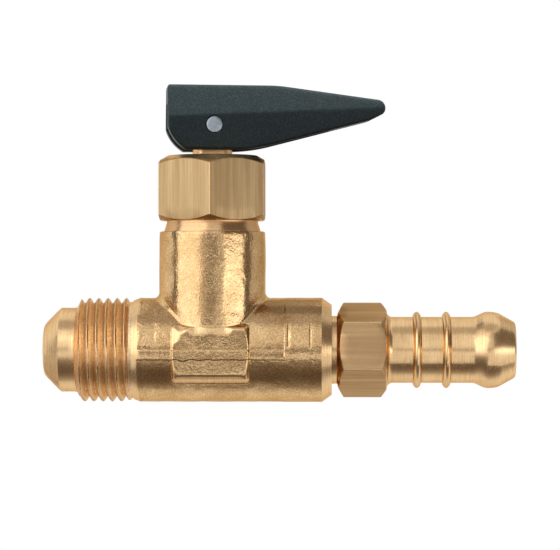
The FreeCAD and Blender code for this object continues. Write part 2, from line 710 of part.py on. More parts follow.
def make_lever():
    """Lever: its side view within a tapering section, less the fork, the core and the pin's hole."""
    corner = size.crown_corner
    rise = size.lever_base + size.tip_foot_height
    run = size.tip_foot - size.belly_start
    slant = root_of(rise * rise + run * run)
    bend = size.belly_radius * (slant - run) / rise
    side_view = flat_sketch("lever_side_view", "XZ", [
        (-size.lever_back, -size.cam_end, size.cam_radius, 1),
        (-size.cam_foot, -size.lever_base),
        (size.belly_start - bend, -size.lever_base, size.belly_radius, 1),
        (size.belly_start + bend * run / slant, -size.lever_base + bend * rise / slant),
        (size.tip_foot, size.tip_foot_height),
        (size.tip_start, size.tip_low, size.tip_radius, 1),
        (size.tip_start, size.tip_high),
        (size.crown_flat, size.lever_crown),
        (corner - size.lever_back, size.lever_crown, corner, 1),
        (-size.lever_back, size.lever_crown - corner),
    ])
    side = extrude_across("lever_side", side_view, size.lever_width + OVERCUT * 2)
    taper = doc.addObject("Part::Loft", "lever_taper")
    tip_end = size.tip_start + size.tip_radius
    taper.Sections = [
        lever_section("lever_back_section", -size.lever_back, size.lever_width / 2, size.back_crease),
        lever_section("lever_tip_section", tip_end, size.tip_width / 2, size.tip_crease),
    ]
    taper.Solid = True
    taper.Ruled = True
    outside = common("lever_outside", [side, taper])

    reach = stem_radius + size.fork_play
    below = size.lever_base + OVERCUT
    behind = size.lever_back + OVERCUT
    fork_view = flat_sketch("lever_fork_view", "XZ", [
        (-behind, -below), (reach, -below), (reach, ZERO, reach, 1), (ZERO, reach), (-behind, reach),
    ])
    fork = extrude_across("lever_fork", fork_view, fork_width)
    core_view = flat_sketch("lever_core_view", "XZ", [
        (ZERO, -below), (size.core_reach, -below), (size.core_reach, size.tip_foot_height),
        (reach, size.lever_crown - size.core_roof - reach * rise / run), (ZERO, ZERO),
    ])
    core = extrude_across("lever_core", core_view, fork_width)
    pin_hole = cylinder("lever_pin_hole", size.pin_dia / 2, size.lever_width * 2, "Y")
    place(pin_hole, y=-size.lever_width)
    lever = cut("lever", outside, fuse("lever_cuts", [fork, core, pin_hole]))
    yaw_and_place(lever, pin_height)
    return lever


def make_lever_pin():
    """Pin pressed in the lever's cheeks, its ends flush with the tapering sides."""
    tip_end = size.tip_start + size.tip_radius
    narrowing = (size.lever_width - size.tip_width) / (tip_end + size.lever_back)
    length = size.lever_width - narrowing * size.lever_back
    pin = doc.addObject("Part::Cylinder", "lever_pin")
    bind(pin, Radius=size.pin_dia / 2, Height=length)
    along = Rotation(Vector(0, 0, 1), size.lever_yaw.number) * Rotation(Vector(1, 0, 0), -90)
    pin.Placement = Placement(Vector(), along)
    place(pin, x=stem_x + length / 2 * sine(size.lever_yaw), y=-(length / 2 * cosine(size.lever_yaw)),
          z=pin_height)
    return pin


pieces = [
    make_valve_body(),
    make_hose_nozzle(),
    make_cap_nut(),
    make_stem_guide(),
    *make_rings(),
    make_stem(),
    make_disc_holder(),
    make_seat_seal(),
    make_closing_spring(),
    make_lever(),
    make_lever_pin(),
]
doc.recompute()

for item in doc.Objects:
    if "Invalid" in item.State or "Error" in item.State:
        raise RuntimeError(f"{item.Label} failed: {item.State}")

os.makedirs("parts", exist_ok=True)
for piece in pieces:
    if piece.Shape.isNull() or not piece.Shape.isValid():
        raise RuntimeError(f"{piece.Label} has no valid shape")
    piece.Shape.exportStep(f"parts/{piece.Label}.step")
    box_of = piece.Shape.BoundBox
    print(f"{piece.Label}: {len(piece.Shape.Solids)} solid, {piece.Shape.Volume:.1f} mm3, "
          f"x {box_of.XMin:.2f} {box_of.XMax:.2f}, y {box_of.YMin:.2f} {box_of.YMax:.2f}, "
          f"z {box_of.ZMin:.2f} {box_of.ZMax:.2f}")
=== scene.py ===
"""Dresses the quick shut-off valve: brass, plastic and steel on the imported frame, and a stage.

Lengths are in metres. X runs along the pipe from the inlet thread to the hose, Z up the stem,
and the origin is on the pipe axis at the middle of the inlet thread.
"""
import json
import math

import bpy
import numpy as np
from bpy.props import FloatProperty, FloatVectorProperty, IntProperty, PointerProperty
from bpy.types import Operator, Panel, PropertyGroup
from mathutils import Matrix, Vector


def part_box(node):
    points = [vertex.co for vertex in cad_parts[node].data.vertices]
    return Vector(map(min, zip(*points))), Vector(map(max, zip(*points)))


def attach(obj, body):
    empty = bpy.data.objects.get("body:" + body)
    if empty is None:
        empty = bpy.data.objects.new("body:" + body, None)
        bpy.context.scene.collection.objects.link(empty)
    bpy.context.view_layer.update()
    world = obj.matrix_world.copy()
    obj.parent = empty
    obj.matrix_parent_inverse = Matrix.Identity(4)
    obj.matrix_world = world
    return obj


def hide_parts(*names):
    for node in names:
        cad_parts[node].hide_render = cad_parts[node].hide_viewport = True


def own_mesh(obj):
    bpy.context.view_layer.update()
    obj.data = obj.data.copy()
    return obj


bl_info = {
    "name": "Quick Shut-off Valve",
    "version": (1, 0, 0),
    "blender": (4, 5, 0),
    "location": "View3D > Sidebar > Valve",
    "description": "Builds the visible pieces of a brass shut-off valve with a toggle lever",
    "category": "Add Mesh",
}

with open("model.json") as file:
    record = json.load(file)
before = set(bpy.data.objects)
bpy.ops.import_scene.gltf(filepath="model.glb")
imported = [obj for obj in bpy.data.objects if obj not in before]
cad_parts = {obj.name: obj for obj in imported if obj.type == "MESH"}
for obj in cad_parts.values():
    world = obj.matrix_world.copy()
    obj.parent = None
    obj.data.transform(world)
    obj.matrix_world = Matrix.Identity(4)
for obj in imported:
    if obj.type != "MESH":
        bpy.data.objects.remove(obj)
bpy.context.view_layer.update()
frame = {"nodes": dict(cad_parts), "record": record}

MM = 0.001
STEM_X = sum(corner.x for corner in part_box("stem")) / 2
BODY_LOW, BODY_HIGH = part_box("valve_body")
NUT_LOW, NUT_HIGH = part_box("cap_nut")
NOZZLE_LOW, NOZZLE_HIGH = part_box("hose_nozzle")
STAGE_CENTRE = (0.02, 0.0, 0.01)
EDGE_TINT = (0.74, 0.56, 0.40, 1.0)
JOINTS = {joint["name"]: joint for joint in frame["record"]["behaviour"]["joints"]}
LEVER_JOINT = JOINTS["lever_flip"]
PIN_CENTRE = np.array(LEVER_JOINT["pos_m"])
LEVER_YAW = math.atan2(LEVER_JOINT["axis"][0], -LEVER_JOINT["axis"][1])
PIN_LOW, PIN_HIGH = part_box("lever_pin")


def length(name, description, metres):
    """A length that a user can set, shown in the scene's units."""
    return FloatProperty(
        name=name, description=description, default=metres, unit="LENGTH", precision=5)


def angle(name, description, degrees):
    """An angle that a user can set."""
    return FloatProperty(
        name=name, description=description, default=math.radians(degrees), subtype="ANGLE")


def colour(name, description, red, green, blue):
    """A colour that a user can set, in linear light."""
    return FloatVectorProperty(
        name=name, description=description, subtype="COLOR", size=3, min=0, max=1,
        default=(red, green, blue))


class ThreadSizes(PropertyGroup):
    """Flare nose and inlet thread."""
    major_radius: length("Major radius", "Crest of the inlet thread", 0.0079375)
    pitch: length("Pitch", "Distance from crest to crest, 18 to the inch", 0.0014111)
    depth: length("Depth", "Height of the thread's profile", 0.00084)
    crest_at_top: length("Crest at top", "Place of one crest along the top of the thread", -0.00252)
    reach: length("Reach", "Half of the threaded length", 0.00435)
    nose_radius: length("Nose radius", "Cylinder of the flare nose", 0.0065)
    nose_face_radius: length("Nose face", "End face of the flare nose", 0.00395)
    bore_radius: length("Bore", "Gas passage of the inlet", 0.0035)


class BodySizes(PropertyGroup):
    """Forged tee: barrel, neck, pads and the band that the trimmed flash leaves."""
    barrel_radius: length("Barrel radius", "Forged barrel", 0.00799)
    shoulder_radius: length("Shoulder radius", "Small end of the chamfer behind the thread", 0.0076)
    barrel_end_radius: length("End radius", "End face of the barrel", 0.0069)
    machined_length: length("Machined band", "Turned band at the barrel's end", 0.00705)
    neck_radius: length("Neck radius", "Forged neck", 0.0081)
    neck_step: length("Neck step", "Height of the turned step under the nut", 0.0181)
    cone_radius: length("Cone radius", "Foot of the cone under the nut", 0.0074)
    neck_thread_radius: length("Neck thread", "Thread under the nut", 0.007)
    blend_radius: length("Blend radius", "Hollow between neck and barrel", 0.0009)
    pad_half_width: length("Pad half width", "Half of the raised pad, along the pipe", 0.0059)
    pad_top: length("Pad top", "Upper edge of the pad", 0.0041)
    pad_bottom: length("Pad bottom", "Lower edge of the pad, below the axis", 0.0048)
    pad_face: length("Pad face", "Pad face, from the pipe axis", 0.00822)
    pad_corner: length("Pad corner", "Corner radius of the pad's foot", 0.0007)
    pad_rim: length("Pad rim", "Raised line along the lower foot of the pad", 0.00004)
    flash_top: length("Flash top", "Upper edge of the trimmed flash", 0.00010)
    flash_bottom: length("Flash bottom", "Lower edge of the trimmed flash", -0.00122)
    flash_rise: length("Flash rise", "How far the trimmed flash stands out", 0.00019)
    dent: length("Dents", "Depth of the forging's shallow dents", 0.00006)


class HexSizes(PropertyGroup):
    """Cap nut and the hexagon of the hose nozzle."""
    nut_flats: length("Nut across flats", "Cap nut", 0.016)
    nut_top_circle: length("Nut top circle", "Circle left by the nut's upper chamfer", 0.0138)
    nut_foot_circle: length("Nut foot circle", "Circle left by the nut's lower chamfer", 0.0156)
    nozzle_flats: length("Nozzle across flats", "Hexagon of the hose nozzle", 0.01265)
    nozzle_near_circle: length("Near circle", "Circle left by the chamfer by the barrel", 0.0114)
    nozzle_far_circle: length("Far circle", "Circle left by the chamfer by the tail", 0.0122)
    nozzle_turn: angle("Nozzle turn", "Turn of the hexagon about the pipe", -7)
    corner_radius: length("Corner radius", "Rounding of a hexagon's corners", 0.00016)
    chamfer_slope: angle("Chamfer", "Slope of the end chamfers", 30)
    far_slope: angle("Far chamfer", "Slope of the nozzle's chamfer by the tail", 37)


class NozzleSizes(PropertyGroup):
    """Turned profile of the hose nozzle."""
    hex_length: length("Hexagon length", "Hexagon, along the pipe", 0.0075)
    tail_length: length("Tail length", "Hose tail, from the hexagon to its end", 0.0198)
    tail_radius: length("Tail radius", "Hose tail between its ribs", 0.00505)
    rib_radius: length("Rib radius", "Crest of ribs and bulb", 0.00585)
    first_rib: length("First rib", "Middle of the first rib, from the hexagon", 0.0046)
    rib_pitch: length("Rib pitch", "Distance from rib to rib", 0.0045)
    rib_half_width: length("Rib half width", "Half the width of a rib at its crest", 0.00062)
    bulb_start: length("Bulb start", "Foot of the bulb, from the hexagon", 0.0131)
    end_radius: length("End radius", "End face of the hose tail", 0.0043)
    relief_radius: length("Relief radius", "Turned relief between barrel and hexagon", 0.0052)


class SpringSizes(PropertyGroup):
    """Coil spring that closes the valve."""
    wire: length("Wire", "Thickness of the spring's wire", 0.0007)
    turns: IntProperty(name="Turns", description="Turns of the closing spring", default=4, min=1)


class LeverSizes(PropertyGroup):
    """Moulded toggle lever, measured from its pin."""
    base: length("Base", "Underside, below the pin", 0.00375)
    back: length("Back", "Back end, behind the pin", 0.007)
    crown: length("Crown", "Top, above the pin", 0.0062)
    cam_radius: length("Cam radius", "Rolling corner between underside and back end", 0.00607)
    cam_foot: length("Cam foot", "Start of the rolling corner, behind the pin", 0.00434)
    crown_flat: length("Crown flat", "Where the top starts to fall", 0.010)
    belly_start: length("Belly start", "Where the underside starts to rise", 0.0059)
    tip_foot: length("Tip foot", "Foot of the blunt tip", 0.0241)
    tip_foot_height: length("Tip foot height", "Foot of the blunt tip, above the pin", 0.0009)
    tip_centre: length("Tip centre", "Middle of the tip's round", 0.025246)
    tip_radius: length("Tip radius", "Round of the tip", 0.0013)
    tip_height: length("Tip height", "Middle of the tip's round, above the pin", 0.002875)
    half_width: length("Half width", "Half the width of the back end", 0.006)
    tip_half_width: length("Tip half width", "Half the width of the tip", 0.0025)
    back_crease: length("Back crease", "Crease under the bevel at the back end", 0.0012)
    tip_crease: length("Tip crease", "The same crease at the tip", 0.00286)
    bevel_lean: FloatProperty(
        name="Bevel lean", description="How far the bevel leans in per height", default=0.488)
    edge_radius: length("Edge radius", "Rounding of the moulded edges", 0.00042)
    fork_radius: length("Fork radius", "Hollow of the fork round the stem's head", 0.00335)
    fork_half_width: length("Fork half width", "Half the width of the fork's slot", 0.0026)
    core_reach: length("Core reach", "End of the moulded hollow under the lever", 0.018)
    pin_radius: length("Pin radius", "Lever pin", 0.00125)


class FinishColours(PropertyGroup):
    """Colours of the finishes."""
    brass: colour("Brass", "Forged brass", 0.75, 0.51, 0.26)
    brass_turned: colour("Turned brass", "Brighter brass of the turned faces", 0.90, 0.63, 0.34)
    brass_deep: colour("Deep brass", "Brass in hollows and dull patches", 0.58, 0.35, 0.16)
    brass_thread: colour("Thread brass", "Warmer brass of the cut thread", 0.95, 0.69, 0.415)
    brass_thread_deep: colour("Deep thread brass", "Hollows of the cut thread", 0.78, 0.54, 0.32)
    # Darker brass: painted shade on the neck's cone under the nut, and duller brass on the thread's
    # crests.
    brass_cone_shade_and_crests: colour("Cone brass", "Duller brass of cone and thread crests", 0.66, 0.42, 0.225)
    brass_nut: colour("Nut brass", "Skin of the cap nut's hexagon bar", 0.47, 0.335, 0.175)
    brass_nut_deep: colour("Deep nut brass", "Streaks of the cap nut", 0.37, 0.24, 0.115)
    brass_hexagon: colour("Hexagon brass", "Skin of the nozzle's hexagon bar", 0.56, 0.375, 0.19)
    brass_hexagon_deep: colour("Deep hexagon brass", "Streaks of the hexagon bar", 0.45, 0.28, 0.14)
    lever: colour("Lever", "Moulded lever", 0.040, 0.056, 0.061)
    lever_grain: colour("Lever grain", "Lighter specks of the lever", 0.074, 0.102, 0.104)
    pin_steel: colour("Pin steel", "Lever pin", 0.37, 0.41, 0.46)
    rubber: colour("Rubber", "Seals", 0.018, 0.018, 0.018)
    spring_steel: colour("Spring steel", "Closing spring", 0.50, 0.50, 0.50)


class StageSettings(PropertyGroup):
    """Camera, floor and lamps."""
    camera_place: FloatVectorProperty(
        name="Camera place", description="Where the camera stands", subtype="XYZ", unit="LENGTH",
        size=3, default=(0.03498, -0.367, 0.01147))
    camera_turn: angle("Camera turn", "Turn of the camera from straight on", 1.29)
    lens: FloatProperty(
        name="Lens", description="Focal length on a 36 mm sensor", default=153.8, unit="CAMERA")
    floor_drop: length("Floor", "Depth of the floor below the pipe axis", 0.05)
    lamp_level: FloatProperty(
        name="Lamp level", description="Multiplies every lamp", default=1.0, min=0)


GROUPS = {
    "valve_thread": ThreadSizes,
    "valve_body": BodySizes,
    "valve_hex": HexSizes,
    "valve_nozzle": NozzleSizes,
    "valve_spring": SpringSizes,
    "valve_lever": LeverSizes,
    "valve_colours": FinishColours,
    "valve_stage": StageSettings,
}


def spaced(*spans):
    """Stations along a line: each span (start, stop, step) is divided evenly, ends kept once."""
    stations = []
    for start, stop, step in spans:
        count = max(2, int(round(abs(stop - start) / step)) + 1)
        stations.append(np.linspace(start, stop, count)[:-1])
    return np.append(np.concatenate(stations), spans[-1][1])


def smooth_step(value, start, stop):
    """0 before start, 1 after stop, and the cubic 3t^2 - 2t^3 between."""
    part = np.clip((value - start) / (stop - start), 0, 1)
    return part * part * (3 - 2 * part)


def smooth_least(first, second, reach):
    """The smaller of two distances, rounded where they differ by less than reach."""
    near = np.maximum(reach - np.abs(first - second), 0) / reach
    return np.minimum(first, second) - near * near * reach / 4


def ripple(u, v, wave, seed):
    """Shallow unevenness, mostly between -1 and 1: a fifth of the sum of eight sine waves of u and
    v with fixed directions and phases, whose lengths lie round the given wave."""
    chance = np.random.default_rng(seed)
    total = np.zeros(np.broadcast(u, v).shape)
    for turn, phase, factor in zip(chance.uniform(0, math.tau, 8), chance.uniform(0, math.tau, 8),
                                   chance.uniform(0.6, 1.6, 8)):
        along = u * math.cos(turn) + v * math.sin(turn)
        total += np.sin(math.tau * factor / wave * along + phase)
    return total / 5


def placed(name, data):
    """An object of the given data, put into the scene at the origin."""
    item = bpy.data.objects.new(name, data)
    bpy.context.collection.objects.link(item)
    return item


def skin(name, rings, loop=False):
    """A closed mesh on rows of equal rings: quads between neighbours, and either the last row
    joined to the first or a fan to the middle of each end ring. Faces are turned outwards."""
    rows, columns = rings.shape[:2]
    points = rings.reshape(-1, 3)
    grid = np.arange(rows * columns).reshape(rows, columns)
    if loop:
        grid = np.vstack([grid, grid[:1]])
    ahead = np.roll(grid, -1, axis=1)
    faces = np.stack([grid[:-1], ahead[:-1], ahead[1:], grid[1:]], -1).reshape(-1, 4).tolist()
    if not loop:
        points = np.vstack([points, rings[0].mean(axis=0), rings[-1].mean(axis=0)])
        for edge, onward, middle in ((ahead[0], grid[0], grid.size),
                                     (grid[-1], ahead[-1], grid.size + 1)):
            faces += np.stack([edge, onward, np.full(columns, middle)], -1).tolist()
    mesh = bpy.data.meshes.new(name)
    mesh.from_pydata(points.tolist(), [], faces)
    mesh.update()
    if signed_volume(mesh) < 0:
        mesh.flip_normals()
    return placed(name, mesh)


def signed_volume(mesh):
    """Sum over the triangles of a . (b x c) / 6, positive where the faces look outwards."""
    places = np.empty(len(mesh.vertices) * 3)
    mesh.vertices.foreach_get("co", places)
    mesh.calc_loop_triangles()
    corners = np.empty(len(mesh.loop_triangles) * 3, dtype=np.int32)
    mesh.loop_triangles.foreach_get("vertices", corners)
    triangles = places.reshape(-1, 3)[corners].reshape(-1, 3, 3)
    return np.einsum("ij,ij->", triangles[:, 0], np.cross(triangles[:, 1], triangles[:, 2])) / 6


def full_turn(count):
    """Angles of a full turn, evenly spaced."""
    return np.arange(count) * math.tau / count


def combine(piece, other, operation):
    """Join another solid to a piece or cut it away, and keep the result as the piece's own mesh."""
    change = piece.modifiers.new(operation.title(), "BOOLEAN")
    change.operation = operation
    change.solver = "EXACT"
    change.object = other
    shape = piece.evaluated_get(bpy.context.evaluated_depsgraph_get())
    mesh = bpy.data.meshes.new_from_object(shape)
    piece.modifiers.clear()
    piece.data = mesh
    mesh.name = piece.name
    bpy.data.objects.remove(other)
    if not mesh.polygons:
        raise RuntimeError(f"{piece.name} is empty after {operation.lower()}")


def finish_piece(piece, body, nodes, finishes, choose=None, sharp=35):
    """Smooth a piece, give it the materials of the named finishes, put it under its body, and hide
    the imported parts that it stands for.
    Choose takes the faces' centres and gives each face the number of its finish."""
    mesh = piece.data
    mesh.materials.clear()
    for finish in finishes:
        mesh.materials.append(bpy.data.materials[finish])
    mesh.shade_smooth()
    mesh.set_sharp_from_angle(angle=math.radians(sharp))
    if choose:
        centres = np.empty(len(mesh.polygons) * 3)
        mesh.polygons.foreach_get("center", centres)
        mesh.polygons.foreach_set("material_index", choose(centres.reshape(-1, 3)).astype(np.int32))
    mesh.update()
    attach(piece, body)
    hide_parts(*nodes)


class Recipe:
    """A material, or the world, under construction: adds nodes and links their sockets by name."""

    def __init__(self, name, kind="materials"):
        self.owner = getattr(bpy.data, kind).new(name)
        self.owner.use_nodes = True
        self.tree = self.owner.node_tree
        self.tree.nodes.clear()
        self.place = self.add("TexCoord").outputs["Object"]

    def add(self, kind, settings=None, **sockets):
        """A node of a kind. Sockets are named, with _ for a space, or numbered, as in _0."""
        node = self.tree.nodes.new("ShaderNode" + kind)
        for key, value in (settings or {}).items():
            setattr(node, key, value)
        for key, value in sockets.items():
            number = key[1:]
            socket = int(number) if number.isdigit() else key.replace("_", " ")
            self.feed(node.inputs[socket], value)
        return node

    def feed(self, socket, value):
        if isinstance(value, bpy.types.NodeSocket):
            self.tree.links.new(value, socket)
        else:
            socket.default_value = value

    def math(self, operation, first, second, clamp=False):
        settings = {"operation": operation, "use_clamp": clamp}
        return self.add("Math", settings, _0=first, _1=second).outputs[0]

    def vector(self, operation, first, **sockets):
        return self.add("VectorMath", {"operation": operation}, _0=first, **sockets).outputs

    def stretched(self, scale, centre=(0, 0, 0)):
        """Object coordinates from a centre, scaled by axis: a small scale draws a pattern out."""
        shifted = self.vector("SUBTRACT", self.place, _1=centre)[0]
        return self.vector("MULTIPLY", shifted, _1=scale)[0]

    def noise(self, size, detail=2.0, rough=0.5, vector=None):
        """Noise whose features measure about the given size in metres."""
        return self.add("TexNoise", Vector=vector or self.place, Scale=1 / size, Detail=detail,
                        Roughness=rough).outputs["Fac"]

    def spread(self, value, low, high, low_to=0.0, high_to=1.0):
        """Map a value's span on to another span, held at both ends."""
        return self.add("MapRange", {"clamp": True}, Value=value, From_Min=low, From_Max=high,
                        To_Min=low_to, To_Max=high_to).outputs[0]

    def blend(self, factor, first, second):
        """A mix of two colours."""
        node = self.add("Mix", {"data_type": "RGBA"}, Factor=factor)
        for socket, value in ((node.inputs[6], first), (node.inputs[7], second)):
            self.feed(socket, value if isinstance(value, bpy.types.NodeSocket) else (*value, 1))
        return node.outputs[2]

    def speckle(self, tone, specks, low, high):
        """A colour that is darker and lighter with the specks of a noise."""
        return self.vector("SCALE", tone, Scale=self.spread(specks, 0.36, 0.64, low, high))[0]

    def bump(self, height, depth, below=None):
        """A bump of the given depth in metres, laid over another one."""
        sockets = {"Normal": below} if below else {}
        return self.add("Bump", Height=height, Distance=depth, Strength=1.0, **sockets).outputs[0]

    def finish(self, shader, kind="Material"):
        self.add("Output" + kind, Surface=shader.outputs[0])
        return self.owner

    def surface(self, **sockets):
        return self.finish(self.add("BsdfPrincipled", **sockets))

    def metal(self, tone, normal, mask, low, high, **sockets):
        """Bare metal whose roughness goes from low to high with a noise."""
        return self.surface(Base_Color=tone, Metallic=1.0, Normal=normal,
                            Roughness=self.spread(mask, 0.3, 0.7, low, high), **sockets)

    def glow(self, colour, strength=1.0, kind="Material"):
        """Plain light of a colour."""
        name = "Emission" if kind == "Material" else "Background"
        return self.finish(self.add(name, Color=colour, Strength=strength), kind)


def forged_brass(colours):
    """Brass as it leaves the forge and the blast: sandy grain, shallow peel and dull patches."""
    r = Recipe("brass_forged")
    grain = r.noise(0.00034, 1.5)
    sand = r.noise(0.00021, 1.0)
    peel = r.noise(0.0011)
    patches = r.noise(0.004, 3.0, 0.6)
    tone = r.blend(r.spread(patches, 0.35, 0.7), colours.brass, colours.brass_deep)
    sandy = r.math("MULTIPLY", grain, r.spread(r.noise(0.0026), 0.42, 0.62, 0.5, 1.0))
    marks = r.math("MULTIPLY", peel, r.spread(r.noise(0.006, 1.0), 0.48, 0.60, 0.25, 1.0))
    r.metal(r.speckle(tone, sand, 0.76, 1.12), r.bump(sandy, 0.00003, r.bump(marks, 0.00007)),
            patches, 0.15, 0.24, Specular_Tint=EDGE_TINT)


def turned_brass(name, axis, tint, deep, rough=0.20, torn=0.0):
    """Brass off the lathe: fine rings square to the axis, broken up a little round it. Torn brass,
    as on a cut thread, has specks and deeper rings."""
    r = Recipe(name)
    scale = {"X": (1, 0.02, 0.02), "Z": (0.02, 0.02, 1)}[axis]
    rings = r.noise(0.0001, 2.0, 0.6, r.stretched(scale))
    broad = r.noise(0.0006, 2.0, 0.6, r.stretched(scale))
    tone = r.blend(r.spread(r.noise(0.003, 3.0, 0.6), 0.4, 0.75, 0.0, 0.5), tint, deep)
    lined = r.blend(r.spread(rings, 0.35, 0.7, 0.0, 0.5), tone, deep)
    normal = r.bump(rings, 0.00001, r.bump(broad, 0.000014 + 0.0001 * torn))
    if torn:
        specks = r.noise(0.00026, 1.5)
        lined = r.speckle(lined, specks, 1 - torn, 1 + torn / 2)
        normal = r.bump(specks, 0.0001 * torn, normal)
    r.metal(lined, normal, rings, rough, rough + 0.09, Specular_Tint=EDGE_TINT)


def drawn_brass(name, axis, drawn, deep):
    """Brass of a drawn hexagon bar: streaks along the axis on flat faces."""
    r = Recipe(name)
    scale = {"X": (0.02, 1, 1), "Z": (1, 1, 0.02)}[axis]
    streaks = r.noise(0.00016, 3.0, 0.65, r.stretched(scale))
    broad = r.noise(0.0011, 2.0, 0.6, r.stretched(scale))
    tone = r.blend(r.spread(broad, 0.38, 0.62), drawn, deep)
    lined = r.blend(r.spread(streaks, 0.35, 0.7, 0.0, 0.7), tone, deep)
    normal = r.bump(streaks, 0.000018, r.bump(r.noise(0.00015, 2.0, 0.6), 0.00001))
    r.metal(lined, normal, streaks, 0.32, 0.46, Specular_Tint=EDGE_TINT)


def moulded_plastic(colours):
    """Greenish black plastic with the fine grain of its mould."""
    r = Recipe("plastic_moulded")
    grain = r.noise(0.00026, 3.0, 0.7)
    cloud = r.noise(0.003, 3.0, 0.6)
    specks = r.math("MULTIPLY", r.spread(grain, 0.44, 0.62), r.spread(cloud, 0.3, 0.7, 0.6, 1.0))
    r.surface(Base_Color=r.blend(specks, colours.lever, colours.lever_grain),
              Normal=r.bump(grain, 0.00002, r.bump(cloud, 0.00004)), Specular_IOR_Level=0.1,
              Roughness=r.spread(grain, 0.3, 0.7, 0.40, 0.55))


def mottled_steel(name, tint, size):
    """Bare steel with a mottled, faintly dimpled face."""
    r = Recipe(name)
    mottle = r.noise(size, 3.0, 0.65)
    tone = r.blend(r.spread(mottle, 0.3, 0.7), tint * 0.72, tint)
    r.metal(tone, r.bump(mottle, 0.00004), mottle, 0.28, 0.48)


def seal_rubber(colours):
    """Black sealing rubber, faintly uneven."""
    r = Recipe("rubber_black")
    bloom = r.noise(0.0007, 3.0, 0.6)
    tone = r.blend(r.spread(bloom, 0.4, 0.8, 0.0, 0.4), colours.rubber, (0.06, 0.06, 0.058))
    r.surface(Base_Color=tone, Normal=r.bump(bloom, 0.000008), Roughness=0.55)


def hexagon_outline(flats, corner_radius, turn, per_flat=8, per_corner=7):
    """Angles and radii of a hexagon with rounded corners: straight stretches at the distance of the
    flats, and round each corner an arc of the given radius between the normals of its two flats."""
    centre = (flats / 2 - corner_radius) / math.cos(math.radians(30))
    corner = np.radians(60 * np.arange(6) + 30)[:, None]
    spin = corner + np.radians(np.linspace(-30, 30, per_corner))
    arcs = np.stack([centre * np.cos(corner) + corner_radius * np.cos(spin),
                     centre * np.sin(corner) + corner_radius * np.sin(spin)], -1)
    start, stop = arcs[:, -1:], np.roll(arcs, -1, axis=0)[:, :1]
    share = np.linspace(0, 1, per_flat + 2)[1:-1, None]
    x, y = np.concatenate([arcs, start + (stop - start) * share], axis=1).reshape(-1, 2).T
    return np.arctan2(y, x) + turn, np.hypot(x, y)


def hexagon_rows(start, stop, radii, circles, slopes, bevel=0.00006):
    """Rows (place, radius for each column) along a hexagon whose ends a cone has chamfered, where
    the place is (radius - circle) x tan(slope) from the end. The chamfers' edges are bevelled."""
    way = 1 if stop > start else -1
    ends, edges = [], []
    for end, inwards, circle, slope in zip((start, stop), (way, -way), circles, slopes):
        rise = math.tan(slope)
        cone = [circle + (radii - circle) * share for share in (0.0, 0.35, 0.7, 0.94)]
        ends.append([(end + inwards * (radius - circle) * rise, radius) for radius in cone])
        edges.append(end + inwards * ((radii - circle) * rise + bevel))
    first, last = edges
    middle = [(first + (last - first) * share, radii) for share in np.linspace(0, 1, 6)]
    return ends[0] + middle + ends[1][::-1]


def rings_of_rows(rows, angles, axis, centre=(0, 0, 0)):
    """Rings round an axis from rows of a place along it and a radius, each one number or one for
    every column. About X a point is (a, -r sin t, r cos t), about Z it is (r cos t, r sin t, a)."""
    ones = np.ones_like(angles)
    along, radius = (np.stack([row[part] * ones for row in rows]) for part in (0, 1))
    cos, sin = radius * np.cos(angles), radius * np.sin(angles)
    return np.stack([along, -sin, cos] if axis == "X" else [cos, sin, along], -1) + centre


def screwed_end(thread):
    """Flare nose and inlet thread. The thread is a radius over (turn, place): the distance to the
    nearest crest of the helix, place = crest_at_top + pitch x turn, falls off at 60 degree flanks,
    held between a flat crest and a rounded root, under the start's cone and the run-out."""
    angles = full_turn(152)
    reach, crest, nose_r = thread.reach, thread.major_radius, thread.nose_radius
    places = spaced((-reach, reach + 0.0004, 0.000055))
    along, turn = np.meshgrid(places, angles, indexing="ij")
    phase = (along - thread.crest_at_top) / thread.pitch - turn / math.tau
    off_crest = np.abs(phase - np.round(phase)) * thread.pitch
    half_crest = thread.pitch * 0.105
    flank = (off_crest - half_crest) * math.tan(math.radians(60))
    fall = smooth_least(-smooth_least(-flank, 0, 0.00034), thread.depth, 0.00036)
    run_out = smooth_step(along, reach - 0.00095, reach - 0.0001)
    worn = 0.00003 * ripple(along, turn * crest, 0.0012, 5) * smooth_step(fall, 0.0004, 0)
    radius = crest - fall * (1 - run_out) - run_out * 0.00055 + worn
    radius = smooth_least(radius, nose_r + (along + reach) * 2.0, 0.00015)
    nose_start = BODY_LOW.x + 0.0002
    cone_end = nose_start + nose_r - thread.nose_face_radius
    nose = spaced((nose_start, cone_end, 0.0004), (cone_end, -reach, 0.0005))[:-1]
    profile = np.interp(nose, [nose_start, cone_end, -reach],
                        [thread.nose_face_radius, nose_r, nose_r])
    profile = smooth_least(profile, nose_r, 0.00025)
    nose[0] += 0.00008
    rows = [(nose_start, thread.bore_radius * 0.5), (nose_start, thread.nose_face_radius - 0.00015),
            *zip(nose, profile), (-reach - 0.00004, nose_r),
            *zip(places, radius), (reach + 0.0008, nose_r)]
    return skin("screwed_end", rings_of_rows(rows, angles, "X"))


def barrel_turns():
    """Angles round the barrel, from the top over the camera's side: close together at the edges of
    the pads and at the flash, mirrored on the far side."""
    half = spaced((0, 56, 3.1), (56, 69, 0.6), (69, 87.6, 1.5), (87.6, 90.4, 0.28),
                  (90.4, 96.6, 1.0), (96.6, 101.4, 0.3), (101.4, 113, 1.3), (113, 129.5, 0.45),
                  (129.5, 180, 3.1))
    return np.radians(np.concatenate([half, 360 - half[-2:0:-1]]))


